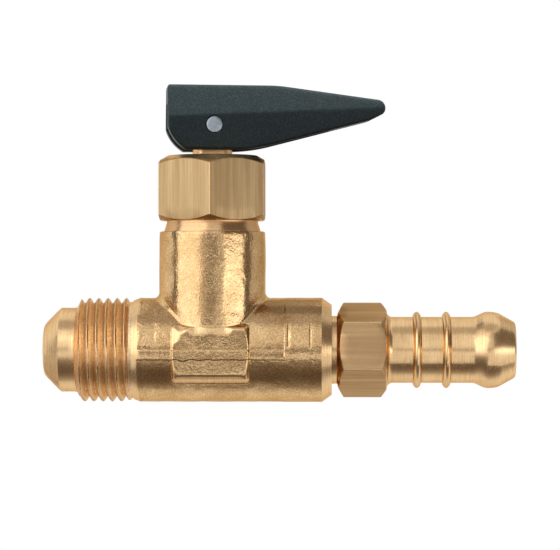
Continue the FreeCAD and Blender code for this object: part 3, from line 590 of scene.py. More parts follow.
def barrel(body, thread):
    """Forged barrel, as a radius over (place, turn) found by halving: the skin is where the turned
    barrel and the two pads meet the ray, moved out by the flash and the pad's rim.
    A pad rises from its foot, the barrel's side, steeply and then gently with the distance inside
    its outline, up to a flat face that leans back into the neck at its top. The flash grows
    thicker from its upper to its lower edge, which is ragged and torn at one place."""
    angles = barrel_turns()
    start, end = thread.reach, BODY_HIGH.x
    left, right = STEM_X - body.pad_half_width, STEM_X + body.pad_half_width
    machined = end - body.machined_length
    fine = 0.00008
    places = spaced(
        (start, start + 0.001, 0.00025), (start + 0.001, left - 0.0003, 0.00035),
        (left - 0.0003, left + 0.0010, fine), (left + 0.0010, right - 0.0008, 0.0003),
        (right - 0.0008, right + 0.0003, fine), (right + 0.0003, machined - 0.0002, 0.00035),
        (machined - 0.0002, machined + 0.0006, fine), (machined + 0.0006, end - 0.0034, 0.0005),
        (end - 0.0034, end - 0.0030, fine), (end - 0.0030, end - 0.0015, 0.0005),
        (end - 0.0015, end, 0.0005))
    along, turn = np.meshgrid(places, angles, indexing="ij")
    side = body.barrel_radius
    turned = np.interp(along, [start, start + 0.001, end - 0.0015, end],
                       [body.shoulder_radius, side, side, body.barrel_end_radius])
    forged = 1 - smooth_step(along, machined - 0.00008, machined)
    forged = forged * smooth_step(along, start + 0.0009, start + 0.0012)
    dents = 0.5 + 0.5 * ripple(along, turn * side, 0.0042, 3)
    turned = turned - forged * body.dent * np.maximum(dents, 0)
    upper = smooth_step(np.cos(turn), 0.02, 0.12) * (1 - smooth_step(np.cos(turn), 0.62, 0.75))
    nicks = (0.0077, 0.00005), (0.0262, 0.00006), (0.0281, 0.00007), (end - 0.0032, 0.00006)
    for place, depth in nicks:
        turned = turned - depth * np.exp(-((along - place) / 0.00013) ** 2) * upper
    torn_place, torn_depth = 0.0121, 0.00022
    ragged = body.flash_bottom + 0.00010 * ripple(along, along * 0, 0.0023, 11)
    ragged = ragged + 0.00005 * ripple(along, along * 0, 0.0007, 12)
    ragged = ragged - torn_depth * np.exp(-((along - torn_place) / 0.0005) ** 2)
    middle = (body.pad_top - body.pad_bottom) / 2
    half_height = (body.pad_top + body.pad_bottom) / 2
    from_stem = np.abs(along - STEM_X)
    neck_face = np.sqrt(np.maximum(body.neck_radius ** 2 - from_stem ** 2, 0)) - 0.00002
    across = from_stem - body.pad_half_width + body.pad_corner
    inside_all, outside_all, halvings = 0.0060, 0.0105, 22
    low, high = np.full_like(along, inside_all), np.full_like(along, outside_all)
    for _ in range(halvings):
        reach = (low + high) / 2
        height = reach * np.cos(turn)
        upright = np.abs(height - middle) - half_height + body.pad_corner
        outside = np.hypot(np.maximum(across, 0), np.maximum(upright, 0)) + np.minimum(
            np.maximum(across, upright), 0) - body.pad_corner
        worn = smooth_step(height, 0.0002, 0.0018) * smooth_step(STEM_X - along, 0.0032, 0.0050)
        inside = np.maximum(-outside, 0)
        wall = np.minimum(1.75 * inside, 0.0006 + 0.5 * inside) * (1 - worn) + 0.45 * inside * worn
        foot = np.sqrt(np.maximum(turned ** 2 - height ** 2, 0))
        merge = smooth_step(height, 0.0022, 0.0039) * (1 - smooth_step(from_stem, 0.0018, 0.0036))
        flat = body.pad_face + (neck_face - body.pad_face) * merge
        face = smooth_least(foot + wall, flat, 0.00025 * (1 - merge) + 0.00001)
        pad = np.where(outside < 0, reach * np.abs(np.sin(turn)) - face, reach - turned)
        rim = body.pad_rim * np.exp(-((outside - 0.0001) / 0.00015) ** 2)
        share = np.clip((body.flash_top - height) / (body.flash_top - body.flash_bottom), 0, 1)
        flash = (0.5 + 0.5 * share) * smooth_step(body.flash_top - height, -0.00014, 0.00010)
        flash = flash * smooth_step(height - ragged, -0.00014, 0.00006)
        gap = np.minimum(reach - turned, pad) - rim * smooth_step(-height, 0.0009, 0.0018)
        gap = gap - body.flash_rise * flash * forged
        low, high = np.where(gap < 0, reach, low), np.where(gap < 0, high, reach)
    inner = thread.nose_radius * 0.6
    rows = [(start, inner), (start, body.shoulder_radius - 0.0003), *zip(places, (low + high) / 2),
            (end, body.barrel_end_radius - 0.0003), (end, inner)]
    return skin("brass_body", rings_of_rows(rows, angles, "X"))


def neck(body):
    """Forged neck with its turned top. Down to the blend it is a radius over (turn, height). The
    blend is a ball of the blend's radius rolled between neck and barrel: its middle C is
    ((n + f) cos t, (n + f) sin t, sqrt((b + f)^2 - (n + f)^2 sin^2 t)), and each row is an arc
    about C from the neck's side to the barrel's, sunk a little into the barrel."""
    turn = full_turn(216)
    n, b, f = body.neck_radius, body.barrel_radius, body.blend_radius
    sides = np.stack([np.cos(turn), np.sin(turn), np.zeros_like(turn)], -1)

    def ring(radius, height):
        """A ring about the stem, level or waved."""
        places = sides * (radius * np.ones_like(turn))[:, None]
        places[:, 2] = height
        return places

    centre = ring(n + f, 0)
    centre[:, 2] = np.sqrt(np.maximum((b + f) ** 2 - centre[:, 1] ** 2, 0.0014 ** 2))
    step = body.neck_step + 0.00005 * ripple(turn * n, turn * 0, 0.004, 21)
    thread_r, cone_top = body.neck_thread_radius, body.neck_step + 0.0014
    rows = [ring(radius, height) for radius, height in (
        (thread_r - 0.001, BODY_HIGH.z), (thread_r, BODY_HIGH.z), (thread_r, cone_top + 0.0001),
        (thread_r, cone_top), (thread_r + 0.0002, cone_top - 0.0007),
        (body.cone_radius, body.neck_step + 0.0001), (body.cone_radius, step), (n - 0.0004, step),
        (n - 0.00016, step), (n - 0.00004, step - 0.00005))]
    start = body.neck_step - 0.00018
    for share in np.linspace(0, 1, 40):
        height = start + (centre[:, 2] - start) * share
        grown = min(1, 6 * share)
        dents = body.dent * 0.6 * ripple(turn * n, height * 0.5, 0.0040, 8) * grown
        flutes = 0.00005 * np.sin(turn * 6 + 1.2) * grown
        rows.append(ring(n + dents + flutes, height))
    arm = rows[-1] - centre
    out = np.stack([np.zeros_like(turn), centre[:, 1], centre[:, 2]], -1)
    goal = -out / np.linalg.norm(out, axis=1, keepdims=True) * (f + 0.00008)
    for share in np.linspace(0, 1, 12)[1:]:
        direction = arm * math.cos(share * math.pi / 2) + goal * math.sin(share * math.pi / 2)
        direction /= np.linalg.norm(direction, axis=1, keepdims=True)
        size = np.linalg.norm(arm, axis=1) * (1 - share) + np.linalg.norm(goal, axis=1) * share
        rows.append(centre + direction * size[:, None])
    rows.append(ring(0.005, 0.001))
    return skin("neck", np.stack(rows) + np.array((STEM_X, 0, 0)))


def cut_passages(piece, bore):
    """Cut the gas passages and the chamber, each a turned form, with the sizes of the solid."""
    end, hole_end = BODY_HIGH.x, NOZZLE_LOW.x - 0.0004
    hole_r, seat_r, lip_r, chamber_r = 0.00605, 0.002, 0.0026, 0.0055
    lip_top, chamber_floor = 0.0055, 0.0045
    for name, axis, centre, profile in (
            ("inlet_bore", "X", (0, 0, 0), [(BODY_LOW.x - MM, bore), (0.01825, bore)]),
            ("outlet_bore", "X", (0, 0, 0), [
                (0.01945, bore), (hole_end, bore), (hole_end, hole_r), (end + MM, hole_r)]),
            ("chamber", "Z", (STEM_X, 0, 0), [
                (0, seat_r), (lip_top, seat_r), (lip_top, lip_r), (chamber_floor, lip_r),
                (chamber_floor, chamber_r), (BODY_HIGH.z + MM, chamber_r)])):
        passage = skin(name, rings_of_rows(profile, full_turn(64), axis, centre))
        combine(piece, passage, "DIFFERENCE")


def body_finish(centres):
    """Which finish a face of the body has: 0 forged, 1 turned about the pipe, 2 turned about the
    stem, 3 thread, 4 darker brass: painted shade on the neck's cone under the nut, and the duller
    thread's crests. The pads' walls, between barrel and face, are brighter, partly from wear and
    partly as a painted highlight along the pads' outline, and count as turned."""
    sizes, thread = bpy.context.scene.valve_body, bpy.context.scene.valve_thread
    x, z, deep = centres[:, 0], centres[:, 2], np.abs(centres[:, 1])
    from_stem = np.abs(x - STEM_X)
    ends = (x < thread.reach + 0.001) | (x > BODY_HIGH.x - 0.0016)
    side = np.sqrt(np.maximum(sizes.barrel_radius ** 2 - z ** 2, 0))
    # The pads' walls take the brighter turned brass: partly wear, partly a painted highlight along
    # the pads' outline.
    wall = ((from_stem < sizes.pad_half_width) & (z < sizes.pad_top) & (z > -sizes.pad_bottom)
            & (deep > side + 0.00006) & (deep < sizes.pad_face - 0.00004))
    on_neck = (z > sizes.neck_step - 0.00002) & (from_stem < 0.009)
    on_thread = np.abs(x) < thread.reach
    crest = on_thread & (np.hypot(centres[:, 1], z) > thread.major_radius - 0.00016)
    # The neck's cone under the nut gets the darker brass: painted shade.
    cone = on_neck & (z < sizes.neck_step + 0.003)
    return np.select([cone | crest, on_thread, on_neck, wall | ends], [4, 3, 2, 1], 0)


class VALVE_OT_finishes(Operator):
    """Make the finishes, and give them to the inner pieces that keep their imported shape"""
    bl_idname = "valve.finishes"
    bl_label = "Finishes"

    def execute(self, context):
        colours = context.scene.valve_colours
        forged_brass(colours)
        for name, axis, rough in (("brass_turned_x", "X", 0.20), ("brass_turned_z", "Z", 0.28)):
            turned_brass(name, axis, colours.brass_turned, colours.brass_deep, rough)
        turned_brass("brass_thread", "X", colours.brass_thread, colours.brass_thread_deep, 0.32,
                     torn=0.2)
        # Darker brass for painted shade on the cone under the nut, and for the thread's duller
        # crests.
        turned_brass("brass_cone_shade_and_crests", "Z", colours.brass_cone_shade_and_crests, colours.brass_deep)
        drawn_brass("brass_drawn_z", "Z", colours.brass_nut, colours.brass_nut_deep)
        drawn_brass("brass_drawn_x", "X", colours.brass_hexagon, colours.brass_hexagon_deep)
        moulded_plastic(colours)
        mottled_steel("steel_pin", colours.pin_steel, 0.0006)
        mottled_steel("steel_spring", colours.spring_steel, 0.0004)
        seal_rubber(colours)
        turned = ("stem_guide", "stem", "disc_holder")
        seals = ("guide_o_ring", "stem_o_ring_lower", "stem_o_ring_upper", "seat_seal")
        for node in turned + seals:
            finish = "brass_turned_z" if node in turned else "rubber_black"
            for place in frame["nodes"][node].material_slots:
                place.material = bpy.data.materials[finish]
        return {"FINISHED"}


class VALVE_OT_body(Operator):
    """Build the valve body: screwed end, barrel with pads and flash, neck, and their passages"""
    bl_idname = "valve.body"
    bl_label = "Valve body"

    def execute(self, context):
        scene = context.scene
        piece = barrel(scene.valve_body, scene.valve_thread)
        combine(piece, screwed_end(scene.valve_thread), "UNION")
        combine(piece, neck(scene.valve_body), "UNION")
        cut_passages(piece, scene.valve_thread.bore_radius)
        finish_piece(piece, "housing", ["valve_body"],
                     ["brass_forged", "brass_turned_x", "brass_turned_z", "brass_thread",
                      "brass_cone_shade_and_crests"], body_finish)
        return {"FINISHED"}


class VALVE_OT_cap_nut(Operator):
    """Build the cap nut: chamfered hexagon, threaded bore, and the stem's hole in its top wall"""
    bl_idname = "valve.cap_nut"
    bl_label = "Cap nut"

    def execute(self, context):
        sizes = context.scene.valve_hex
        angles, radii = hexagon_outline(sizes.nut_flats, sizes.corner_radius, 0.0)
        circles = sizes.nut_top_circle / 2, sizes.nut_foot_circle / 2
        top, foot, guide_top = NUT_HIGH.z, NUT_LOW.z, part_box("stem_guide")[1].z
        stem_low, stem_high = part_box("stem")
        thread_r = context.scene.valve_body.neck_thread_radius + 0.00005
        hole_r = (stem_high.y - stem_low.y) / 2 + 0.00025
        rows = [(top - 0.00015, hole_r), (top, hole_r + 0.00015),
                *hexagon_rows(top, foot, radii, circles, [sizes.chamfer_slope] * 2),
                (foot, thread_r + 0.0001), (foot + 0.0001, thread_r), (guide_top, thread_r),
                (guide_top, hole_r)]
        hexagon_piece("cap_nut", "Z", rows, angles, sizes.nut_flats, (STEM_X, 0, 0))
        return {"FINISHED"}


def hexagon_piece(node, axis, rows, angles, flats, centre=(0, 0, 0), sharp=25):
    """A piece of hexagon bar: drawn where it lies between the flats' inner circle and the corners,
    and turned elsewhere; at a corner the brighter turned brass is partly wear and partly a painted
    highlight."""
    across = {"X": (1, 2), "Z": (0, 1)}[axis]
    low, high = flats / 2 - 0.00004, flats / math.sqrt(3) - 0.00012

    def off_skin(centres):
        reach = np.hypot(*(centres - centre)[:, across].T)
        # Past high lie the rounded corners: brighter turned brass there, partly wear and partly a
        # painted highlight.
        return (reach < low) | (reach > high)

    piece = skin(f"brass_{node}", rings_of_rows(rows, angles, axis, centre), loop=True)
    finishes = [f"brass_{made}_{axis.lower()}" for made in ("drawn", "turned")]
    finish_piece(piece, "housing", [node], finishes, off_skin, sharp)


def bead(middle, half_width, foot, crest, count=9):
    """Profile of a rounded bead on a turned tail: foot + (crest - foot) cos(u) ^ 0.65 over u from
    -90 to 90 degrees, u running evenly along the tail."""
    spin = np.linspace(-1, 1, count * 2 + 1)
    reach = foot + (crest - foot) * np.maximum(np.cos(spin * math.pi / 2), 0) ** 0.65
    return list(zip(middle + spin * half_width * 1.06, reach))


class VALVE_OT_hose_nozzle(Operator):
    """Build the hose nozzle: relief, chamfered hexagon, tail with ribs and bulb, and its bore"""
    bl_idname = "valve.hose_nozzle"
    bl_label = "Hose nozzle"

    def execute(self, context):
        sizes, hexes = context.scene.valve_nozzle, context.scene.valve_hex
        angles, radii = hexagon_outline(hexes.nozzle_flats, hexes.corner_radius,
                                        hexes.nozzle_turn + math.radians(90), per_flat=10)
        circles = hexes.nozzle_near_circle / 2, hexes.nozzle_far_circle / 2
        slopes = hexes.chamfer_slope, hexes.far_slope
        start, end, thread_end = NOZZLE_LOW.x, NOZZLE_HIGH.x - 0.0002, BODY_HIGH.x - 0.001
        hex_end = NOZZLE_HIGH.x - sizes.tail_length
        hex_start = hex_end - sizes.hex_length
        bore = context.scene.valve_thread.bore_radius
        tail, crest, relief, end_r = (sizes.tail_radius, sizes.rib_radius, sizes.relief_radius,
                                      sizes.end_radius)
        lead_r, thread_r = 0.0052, 0.006
        rows = [(start, bore), (start, lead_r), (start + 0.0008, thread_r), (thread_end, thread_r),
                (thread_end, relief), (hex_start - 0.00015, relief), (hex_start, relief + 0.00015),
                *hexagon_rows(hex_start, hex_end, radii, circles, slopes)]
        spin, hollow = np.linspace(0, math.pi / 2, 7), 0.0009
        rows += zip(hex_end + hollow * (1 - np.cos(spin)), tail + hollow * (1 - np.sin(spin)))
        for number in range(2):
            middle = hex_end + sizes.first_rib + sizes.rib_pitch * number
            rows += bead(middle, sizes.rib_half_width, tail, crest)
        bulb = hex_end + sizes.bulb_start
        share = np.linspace(0, 1, 14)
        climb, crown, sag = 0.0024, 0.0017, 0.00028
        rise = tail + (crest - tail) * (0.5 - 0.5 * np.cos(share * math.pi)) ** 0.8
        rows += zip(bulb + climb * share, rise)
        share = share[1:]
        rows += zip(bulb + climb + crown * share, crest - sag * share ** 2.2)
        fall_start, fall_end = bulb + climb + crown, end - 0.0003
        rows += zip(fall_start + (fall_end - fall_start) * share,
                    crest - sag - (crest - sag - end_r - 0.0001) * share)
        rows += [(end - 0.0001, end_r - 0.00005), (end, end_r - 0.0002), (end, bore + 0.0002),
                 (end - 0.0002, bore)]
        hexagon_piece("hose_nozzle", "X", rows, angles, hexes.nozzle_flats, sharp=28)
        return {"FINISHED"}


def rounded_sections(corners, cuts, per_corner=6, per_edge=2):
    """Round the corners of many polygons at once, given as an array (stations, corners, 2). Each
    corner C gives way to the curve (1-t)^2 A + 2t(1-t) C + t^2 B between points A and B, the cut's
    distance along its two edges, and each edge is divided evenly between two corners."""
    arms = [np.roll(corners, step, axis=1) - corners for step in (1, -1)]
    spans = [np.linalg.norm(arm, axis=2) for arm in arms]
    cut = np.minimum(np.asarray(cuts)[None, :], 0.49 * np.minimum(*spans))[..., None]
    first, last = (corners + arm / (span[..., None] + 1e-9) * cut for arm, span in zip(arms, spans))
    t = np.linspace(0, 1, per_corner)[:, None]
    share = np.linspace(0, 1, per_edge + 2)[1:-1][:, None]
    onward = np.roll(first, -1, axis=1)
    points = []
    for index in range(corners.shape[1]):
        a, c, b, ahead = (item[:, index][:, None, :] for item in (first, corners, last, onward))
        points += [(1 - t) ** 2 * a + 2 * t * (1 - t) * c + t ** 2 * b, b + (ahead - b) * share]
    return np.concatenate(points, axis=1)


def rounded_ramp(value, slope, reach):
    """0 below 0 and slope x value above, joined by slope (value + reach)^2 / (4 reach)."""
    return np.where(np.abs(value) < reach, (value + reach) ** 2 * slope / (4 * reach),
                    np.maximum(value, 0) * slope)


def from_lever(points):
    """Lever coordinates to the frame: turned by the lever's yaw about Z and set at its pin."""
    cos, sin = math.cos(LEVER_YAW), math.sin(LEVER_YAW)
    turn = np.array([[cos, -sin, 0], [sin, cos, 0], [0, 0, 1]])
    return points @ turn.T + PIN_CENTRE


def lever_solid(sizes):
    """Lever as sections carried along its length. At each station the section is six-cornered:
    underside, upright sides to the crease, and bevels that lean in to the top. Underside, top and
    crease are heights over the station; the width tapers and both ends close in quarter circles."""
    tip, tip_r, edge = sizes.tip_centre, sizes.tip_radius, sizes.edge_radius
    back, base = sizes.back, sizes.base
    station = np.concatenate([
        -back + edge * (1 - np.cos(np.linspace(0, math.pi / 2, 6))),
        spaced((-back + edge * 1.5, -sizes.cam_foot, 0.0002), (-sizes.cam_foot, tip, 0.0005)),
        tip + tip_r * np.sin(np.linspace(0, math.pi / 2, 13)[1:])])
    lean = edge - np.sqrt(np.maximum(edge ** 2 - np.maximum(edge - station - back, 0) ** 2, 0))
    cam, cam_end = sizes.cam_radius, 0.00041
    chord = np.array([back - sizes.cam_foot, base - cam_end])
    middle = -np.array([back + sizes.cam_foot, base + cam_end]) / 2
    span = np.linalg.norm(chord)
    cam_centre = middle + chord[::-1] / span * math.sqrt(cam ** 2 - (span / 2) ** 2)
    arc = cam_centre[1] - np.sqrt(np.maximum(cam ** 2 - (station - cam_centre[0]) ** 2, 0))
    slope = (base + sizes.tip_foot_height) / (sizes.tip_foot - sizes.belly_start)
    belly_bend, crown_bend = 0.0032, 0.0015
    rise = -base + rounded_ramp(station - sizes.belly_start, slope, belly_bend)
    blunt_length, blunt_height = 0.0014, 0.0016
    foot_slope = (blunt_height - sizes.tip_foot_height) / blunt_length
    blunt = sizes.tip_foot_height + (station - sizes.tip_foot) * foot_slope
    tip_arc = np.sqrt(np.maximum(tip_r ** 2 - np.maximum(station - tip, 0) ** 2, 1e-10))
    past_tip = station > tip
    under = np.where(station < -sizes.cam_foot, arc, np.maximum(rise, blunt))
    under = np.where(past_tip, np.maximum(sizes.tip_height - tip_arc, under), under)
    fall = (sizes.crown - sizes.tip_height - tip_r) / (tip - sizes.crown_flat)
    top = sizes.crown - rounded_ramp(station - sizes.crown_flat, fall, crown_bend)
    top = np.where(past_tip, sizes.tip_height + tip_arc, top) - lean
    under = np.minimum(under, top - 2e-5)
    share = (station + back) / (tip + tip_r + back)
    half = sizes.half_width + (sizes.tip_half_width - sizes.half_width) * share - lean
    half = half * (0.62 + 0.38 * np.sqrt(1 - np.clip((station - tip) / tip_r, 0, 1) ** 2))
    crease = sizes.back_crease + (sizes.tip_crease - sizes.back_crease) * share
    margin = 0.3 * (top - under)
    crease = np.clip(crease, under + margin, top - margin)
    top_half = half - (top - crease) * sizes.bevel_lean
    corners = np.stack([np.stack(corner, -1) for corner in (
        (-half, under), (half, under), (half, crease), (top_half, top), (-top_half, top),
        (-half, crease))], 1)
    sections = rounded_sections(corners, [edge, edge, 0.0003, edge * 1.7, edge * 1.7, 0.0003])
    along = np.broadcast_to(station[:, None, None], (*sections.shape[:2], 1))
    return skin("toggle_lever", from_lever(np.concatenate([along, sections], 2)))


def about_pin(name, profile):
    """A form turned about the lever's pin."""
    return skin(name, from_lever(rings_of_rows(profile, full_turn(64), "X")[..., [1, 0, 2]]))


def prism(name, outline, half_width):
    """A side view's outline carried across the lever, evenly to both sides of its middle plane."""
    rings = [[(along, side, height) for along, height in outline]
             for side in (-half_width, half_width)]
    return skin(name, from_lever(np.array(rings)))


class VALVE_OT_spring(Operator):
    """Build the closing spring in one fixed shape; in the valve it is squeezed from its upper end
    as the disc lifts
    """
    bl_idname = "valve.spring"
    bl_label = "Closing spring"

    def execute(self, context):
        """The wire's middle line is (R cos t, R sin t, rising evenly with t), and each ring is a
        circle about it, square to the way it runs."""
        low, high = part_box("closing_spring")
        sizes = context.scene.valve_spring
        circle = (high.x - low.x - sizes.wire) / 2
        turns = np.linspace(0, sizes.turns * math.tau, sizes.turns * 36 + 1)[:, None]
        rise = (high.z - low.z - sizes.wire) / turns[-1]
        zero = np.zeros_like(turns)
        outwards = np.concatenate([np.cos(turns), np.sin(turns), zero], -1)
        middle = outwards * circle
        middle[:, 2:] = low.z + sizes.wire / 2 + rise * turns
        upwards = np.concatenate([rise * np.sin(turns), -rise * np.cos(turns), zero + circle], -1)
        upwards /= math.hypot(rise[0], circle)
        round_wire = full_turn(12)[None, :, None]
        rings = middle[:, None] + sizes.wire / 2 * 0.995 * (
            outwards[:, None] * np.cos(round_wire) + upwards[:, None] * np.sin(round_wire))
        spring = skin("spring_coil", rings + np.array((STEM_X, 0, 0)))
        finish_piece(spring, "housing", ["closing_spring"], ["steel_spring"])
        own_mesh(spring)
        return {"FINISHED"}


class VALVE_OT_lever(Operator):
    """Build the lever and its pin: tapering moulded handle with fork, hollow and pin hole"""
    bl_idname = "valve.lever"
    bl_label = "Lever and pin"

    def execute(self, context):
        sizes = context.scene.valve_lever
        reach, radius = sizes.fork_radius, sizes.pin_radius
        below, behind = -sizes.base - MM, -sizes.back - MM
        spin = np.linspace(0, math.pi / 2, 13)
        fork = [(behind, below), (reach, below), *zip(reach * np.cos(spin), reach * np.sin(spin)),
                (behind, reach)]
        core = [(0.0, below), (sizes.core_reach, below), (sizes.core_reach, sizes.tip_foot_height),
                (reach, 0.00276), (0.0, 0.0)]
        hole = [(-0.008, radius + 0.00009), (0.008, radius + 0.00009)]
        piece = lever_solid(sizes)
        for cut in (prism("fork", fork, sizes.fork_half_width),
                    prism("core", core, sizes.fork_half_width), about_pin("pin_hole", hole)):
            combine(piece, cut, "DIFFERENCE")
        finish_piece(piece, "toggle", ["lever"], ["plastic_moulded"], sharp=38)
        half = (PIN_HIGH.y - PIN_LOW.y) / 2 / math.cos(LEVER_YAW) - 0.00012
        dome = [(half - 0.0002, radius), (half - 0.00008, radius - 0.00004),
                (half - 0.00002, radius - 0.00014), (half + 0.00002, radius * 0.7),
                (half + 0.00005, radius * 0.35)]
        pin = about_pin("toggle_pin", [(-place, height) for place, height in reversed(dome)] + dome)
        finish_piece(pin, "toggle", ["lever_pin"], ["steel_pin"], sharp=40)
        return {"FINISHED"}


def stage_card(name, places, faces, material):
    """A card of the stage: flat, or bent round the object."""
    mesh = bpy.data.meshes.new(name)
    mesh.from_pydata(places, [], faces)
    mesh.materials.append(material)
    card = placed(name, mesh)
    return card


def level_card(name, outline, height, material):
    """A level card with the outline given, or, from four numbers, with the corners of a rectangle:
    left, near, right, far."""
    if len(outline) == 4:
        left, near, right, far = outline
        outline = [(left, near), (right, near), (right, far), (left, far)]
    places = [(*corner, height) for corner in outline]
    return stage_card(name, places, [range(len(places))], material)


def around(azimuth, elevation, distance):
    """A place seen from the object: azimuth in degrees from the camera's side towards +X, elevation
    in degrees above level."""
    turn, rise = np.radians(azimuth), np.radians(elevation)
    return np.stack([STAGE_CENTRE[0] + distance * np.cos(rise) * np.sin(turn),
                     STAGE_CENTRE[1] - distance * np.cos(rise) * np.cos(turn),
                     STAGE_CENTRE[2] + distance * np.sin(rise)], -1)


def mirrored_card(name, azimuths, elevations, material, distance=0.40):
    """A card that only the metal mirrors, bent round the object between azimuths and elevations."""
    turn, rise = np.meshgrid(np.linspace(*azimuths, 13), np.linspace(*elevations, 7))
    places = around(turn, rise, distance).reshape(-1, 3)
    first = (np.arange(6)[:, None] * 13 + np.arange(12)).ravel()
    faces = np.stack([first, first + 1, first + 14, first + 13], -1)
    only_mirrored(stage_card(name, places.tolist(), faces.tolist(), material))


def only_mirrored(card):
    """Hide a card from all but mirror rays."""
    card.visible_camera = card.visible_diffuse = False
    card.visible_shadow = card.visible_transmission = False


def seen_as_background(r):
    """1 for rays from the camera or from metal and glass, and 0 for the light on the object."""
    camera, glossy, clear = (r.add("LightPath").outputs[f"Is {kind} Ray"]
                             for kind in ("Camera", "Glossy", "Transmission"))
    return r.math("ADD", r.math("ADD", camera, glossy), clear, clamp=True)


def floor_material():
    """White floor: plain and lit round the object, where its shadow lies, and blank further off."""
    r = Recipe("floor_white")
    away = r.vector("LENGTH", r.stretched((1, 1, 0), (STEM_X, 0, 0)))["Value"]
    factor = r.math("MULTIPLY", seen_as_background(r), r.spread(away, 0.09, 0.16))
    paint = r.add("BsdfDiffuse", Color=(0.9, 0.9, 0.9, 1))
    blank = r.add("Emission", Color=(1, 1, 1, 1), Strength=1.0)
    return r.finish(r.add("MixShader", Fac=factor, _1=paint.outputs[0], _2=blank.outputs[0]))


def warm(level):
    """The colour of a card, with a painted reflection of the brass nearby: the darker it is, the
    warmer.
    """
    cool = 1 - max(0.0, 1 - level) ** 2
    return level, level * (0.74 + 0.26 * cool), level * (0.58 + 0.42 * cool), 1.0


def card_material(name, level):
    """Light of one level."""
    return Recipe(name).glow(warm(level))


def graded_material(name, axis, stops):
    """Light that changes along one axis: each stop is a place in metres and the level there."""
    r = Recipe(name)
    first, last = stops[0][0], stops[-1][0]
    place = r.add("SeparateXYZ", Vector=r.place).outputs[axis]
    ramp = r.add("ValToRGB", Fac=r.spread(place, first, last))
    elements = ramp.color_ramp.elements
    elements[0].color, elements[-1].color = warm(stops[0][1]), warm(stops[-1][1])
    for at, level in stops[1:-1]:
        elements.new((at - first) / (last - first)).color = warm(level)
    return r.glow(ramp.outputs["Color"])


def add_softbox(name, azimuths, elevations, level, distance=0.47, mirrored=True):
    """A soft lamp that faces the object and spans the azimuths and elevations given in degrees.
    Level is its brightness, where 1 is white. Either the metal mirrors it, with its black back, or
    it lights the matt pieces."""
    data = bpy.data.lights.new(name, "AREA")
    data.shape = "RECTANGLE"
    data.size, data.size_y = (2 * distance * math.tan(math.radians(stop - start) / 2)
                              for start, stop in (azimuths, elevations))
    strength = level * bpy.context.scene.valve_stage.lamp_level
    data.energy = strength * math.pi * data.size * data.size_y
    lamp = placed(name, data)
    lamp.location = place = around(sum(azimuths) / 2, sum(elevations) / 2, distance)
    x, y, z = np.array(STAGE_CENTRE) - place
    lamp.rotation_euler = (math.atan2(math.hypot(x, y), -z), 0, math.atan2(-x, y))
    lamp.visible_camera = False
    lamp.visible_glossy = mirrored
    lamp.visible_diffuse = not mirrored
    if mirrored:
        back = f"{name}_back"
        mirrored_card(back, azimuths, elevations, card_material(back, 0.0), distance * 1.35)


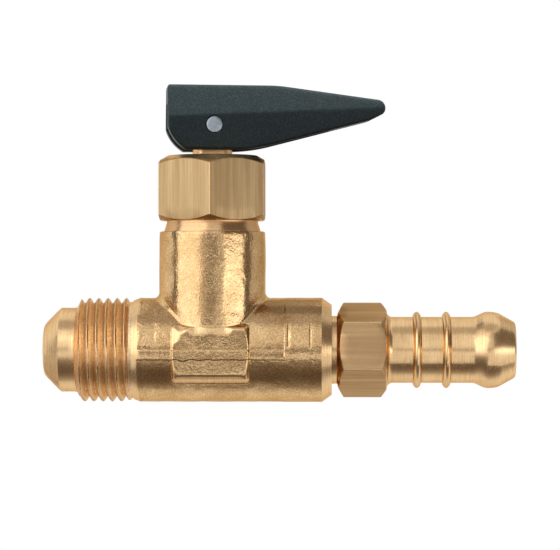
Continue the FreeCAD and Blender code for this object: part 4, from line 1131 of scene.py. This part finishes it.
class VALVE_OT_stage(Operator):
    """Set the stage: floor, white surround, soft lamps, cards that the metal mirrors, camera"""
    bl_idname = "valve.stage"
    bl_label = "Stage"

    def execute(self, context):
        settings = context.scene.valve_stage
        floor = level_card("floor", (-1.5, -1.5, 1.5, 1.5), -settings.floor_drop, floor_material())
        floor.visible_diffuse = False
        r = Recipe("surround", "worlds")
        strength = r.spread(seen_as_background(r), 0, 1, 0.08)
        context.scene.world = r.glow((1, 1, 1, 1), strength, "World")

        add_softbox("left_softbox", (-82, -19), (-6, 42), 1.9)
        add_softbox("front_softbox", (-17, 20), (3, 56), 1.0)
        add_softbox("right_softbox", (24, 74), (-8, 4), 2.2)
        add_softbox("top_softbox", (-30, 30), (62, 112), 5.0, mirrored=False)

        middle = graded_material("middle_card", 0, [
            (-0.150, 0.9), (-0.126, 0.70), (-0.079, 0.44), (-0.037, 0.18), (0.013, 0.10),
            (0.056, 0.18), (0.105, 0.38), (0.151, 0.62), (0.193, 1.0)])
        mirrored_card("middle_card", (-19, 25), (-1, 4.5), middle, 0.41)
        mirrored_card("middle_foot_card", (-7, 6), (-4, -1), middle, 0.41)
        for name, azimuths, elevations, level, distance in (
                ("overhead_card", (-90, 90), (56, 88), 0.55, 0.40),
                ("right_upper_card", (22, 86), (5, 50), 0.2, 0.40),
                ("left_edge_card", (-95, -84), (-10, 50), 0.12, 0.40),
                ("right_edge_card", (77, 97), (-10, 50), 0.18, 0.39),
                ("right_back_card", (97, 150), (-40, 50), 0.68, 0.39)):
            mirrored_card(name, azimuths, elevations, card_material(name, level), distance)

        low = graded_material("low_card", 1, [
            (-0.090, 0.42), (-0.060, 0.30), (-0.040, 0.20), (-0.025, 0.15), (-0.016, 0.17),
            (-0.011, 0.26), (-0.005, 0.44), (0.0, 0.88), (0.006, 1.0)])
        outline = [(-0.03, -0.09), (0.041, -0.09), (0.043, -0.034), (0.067, -0.034), (0.13, 0.003),
                   (0.13, 0.30), (-0.03, 0.30)]
        only_mirrored(level_card("low_card", outline, -0.03, low))
        for name, outline, height, level in (
                ("low_left_card", (-0.25, -0.01, -0.036, 0.06), -0.03, 0.6),
                # The card under the lever glows only in the metal's mirror, in place of the lever's
                # dark reflection: a painted reflection.
                ("lever_painted_reflection_card", (0.0246, -0.007, 0.042, 0.007), 0.03, 0.3),
                ("upper_card", (0.002, -0.004, 0.033, 0.07), 0.052, 0.5)):
            only_mirrored(level_card(name, outline, height, card_material(name, level)))

        data = bpy.data.cameras.new("camera")
        data.lens = settings.lens
        data.clip_start = 0.01
        camera = placed("camera", data)
        camera.location = settings.camera_place
        camera.rotation_euler = (math.radians(90), 0, settings.camera_turn)
        context.scene.camera = camera
        context.scene.view_settings.view_transform = "Standard"
        return {"FINISHED"}


OPERATORS = (VALVE_OT_finishes, VALVE_OT_body, VALVE_OT_cap_nut, VALVE_OT_hose_nozzle,
             VALVE_OT_spring, VALVE_OT_lever, VALVE_OT_stage)


class VALVE_PT_panel(Panel):
    """The valve's pieces, in the order in which they are built"""
    bl_label = "Valve"
    bl_idname = "VALVE_PT_panel"
    bl_space_type = "VIEW_3D"
    bl_region_type = "UI"
    bl_category = "Valve"

    def draw(self, context):
        for operator in OPERATORS:
            self.layout.operator(operator.bl_idname)


def register():
    for name, group in GROUPS.items():
        bpy.utils.register_class(group)
        setattr(bpy.types.Scene, name, PointerProperty(type=group))
    for item in (*OPERATORS, VALVE_PT_panel):
        bpy.utils.register_class(item)


def unregister():
    for item in (VALVE_PT_panel, *reversed(OPERATORS)):
        bpy.utils.unregister_class(item)
    for name, group in reversed(GROUPS.items()):
        delattr(bpy.types.Scene, name)
        bpy.utils.unregister_class(group)


def main():
    """Register the add-on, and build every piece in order."""
    register()
    bpy.ops.valve.finishes()
    bpy.ops.valve.body()
    bpy.ops.valve.cap_nut()
    bpy.ops.valve.hose_nozzle()
    bpy.ops.valve.spring()
    bpy.ops.valve.lever()
    bpy.ops.valve.stage()


if __name__ == "__main__":
    main()
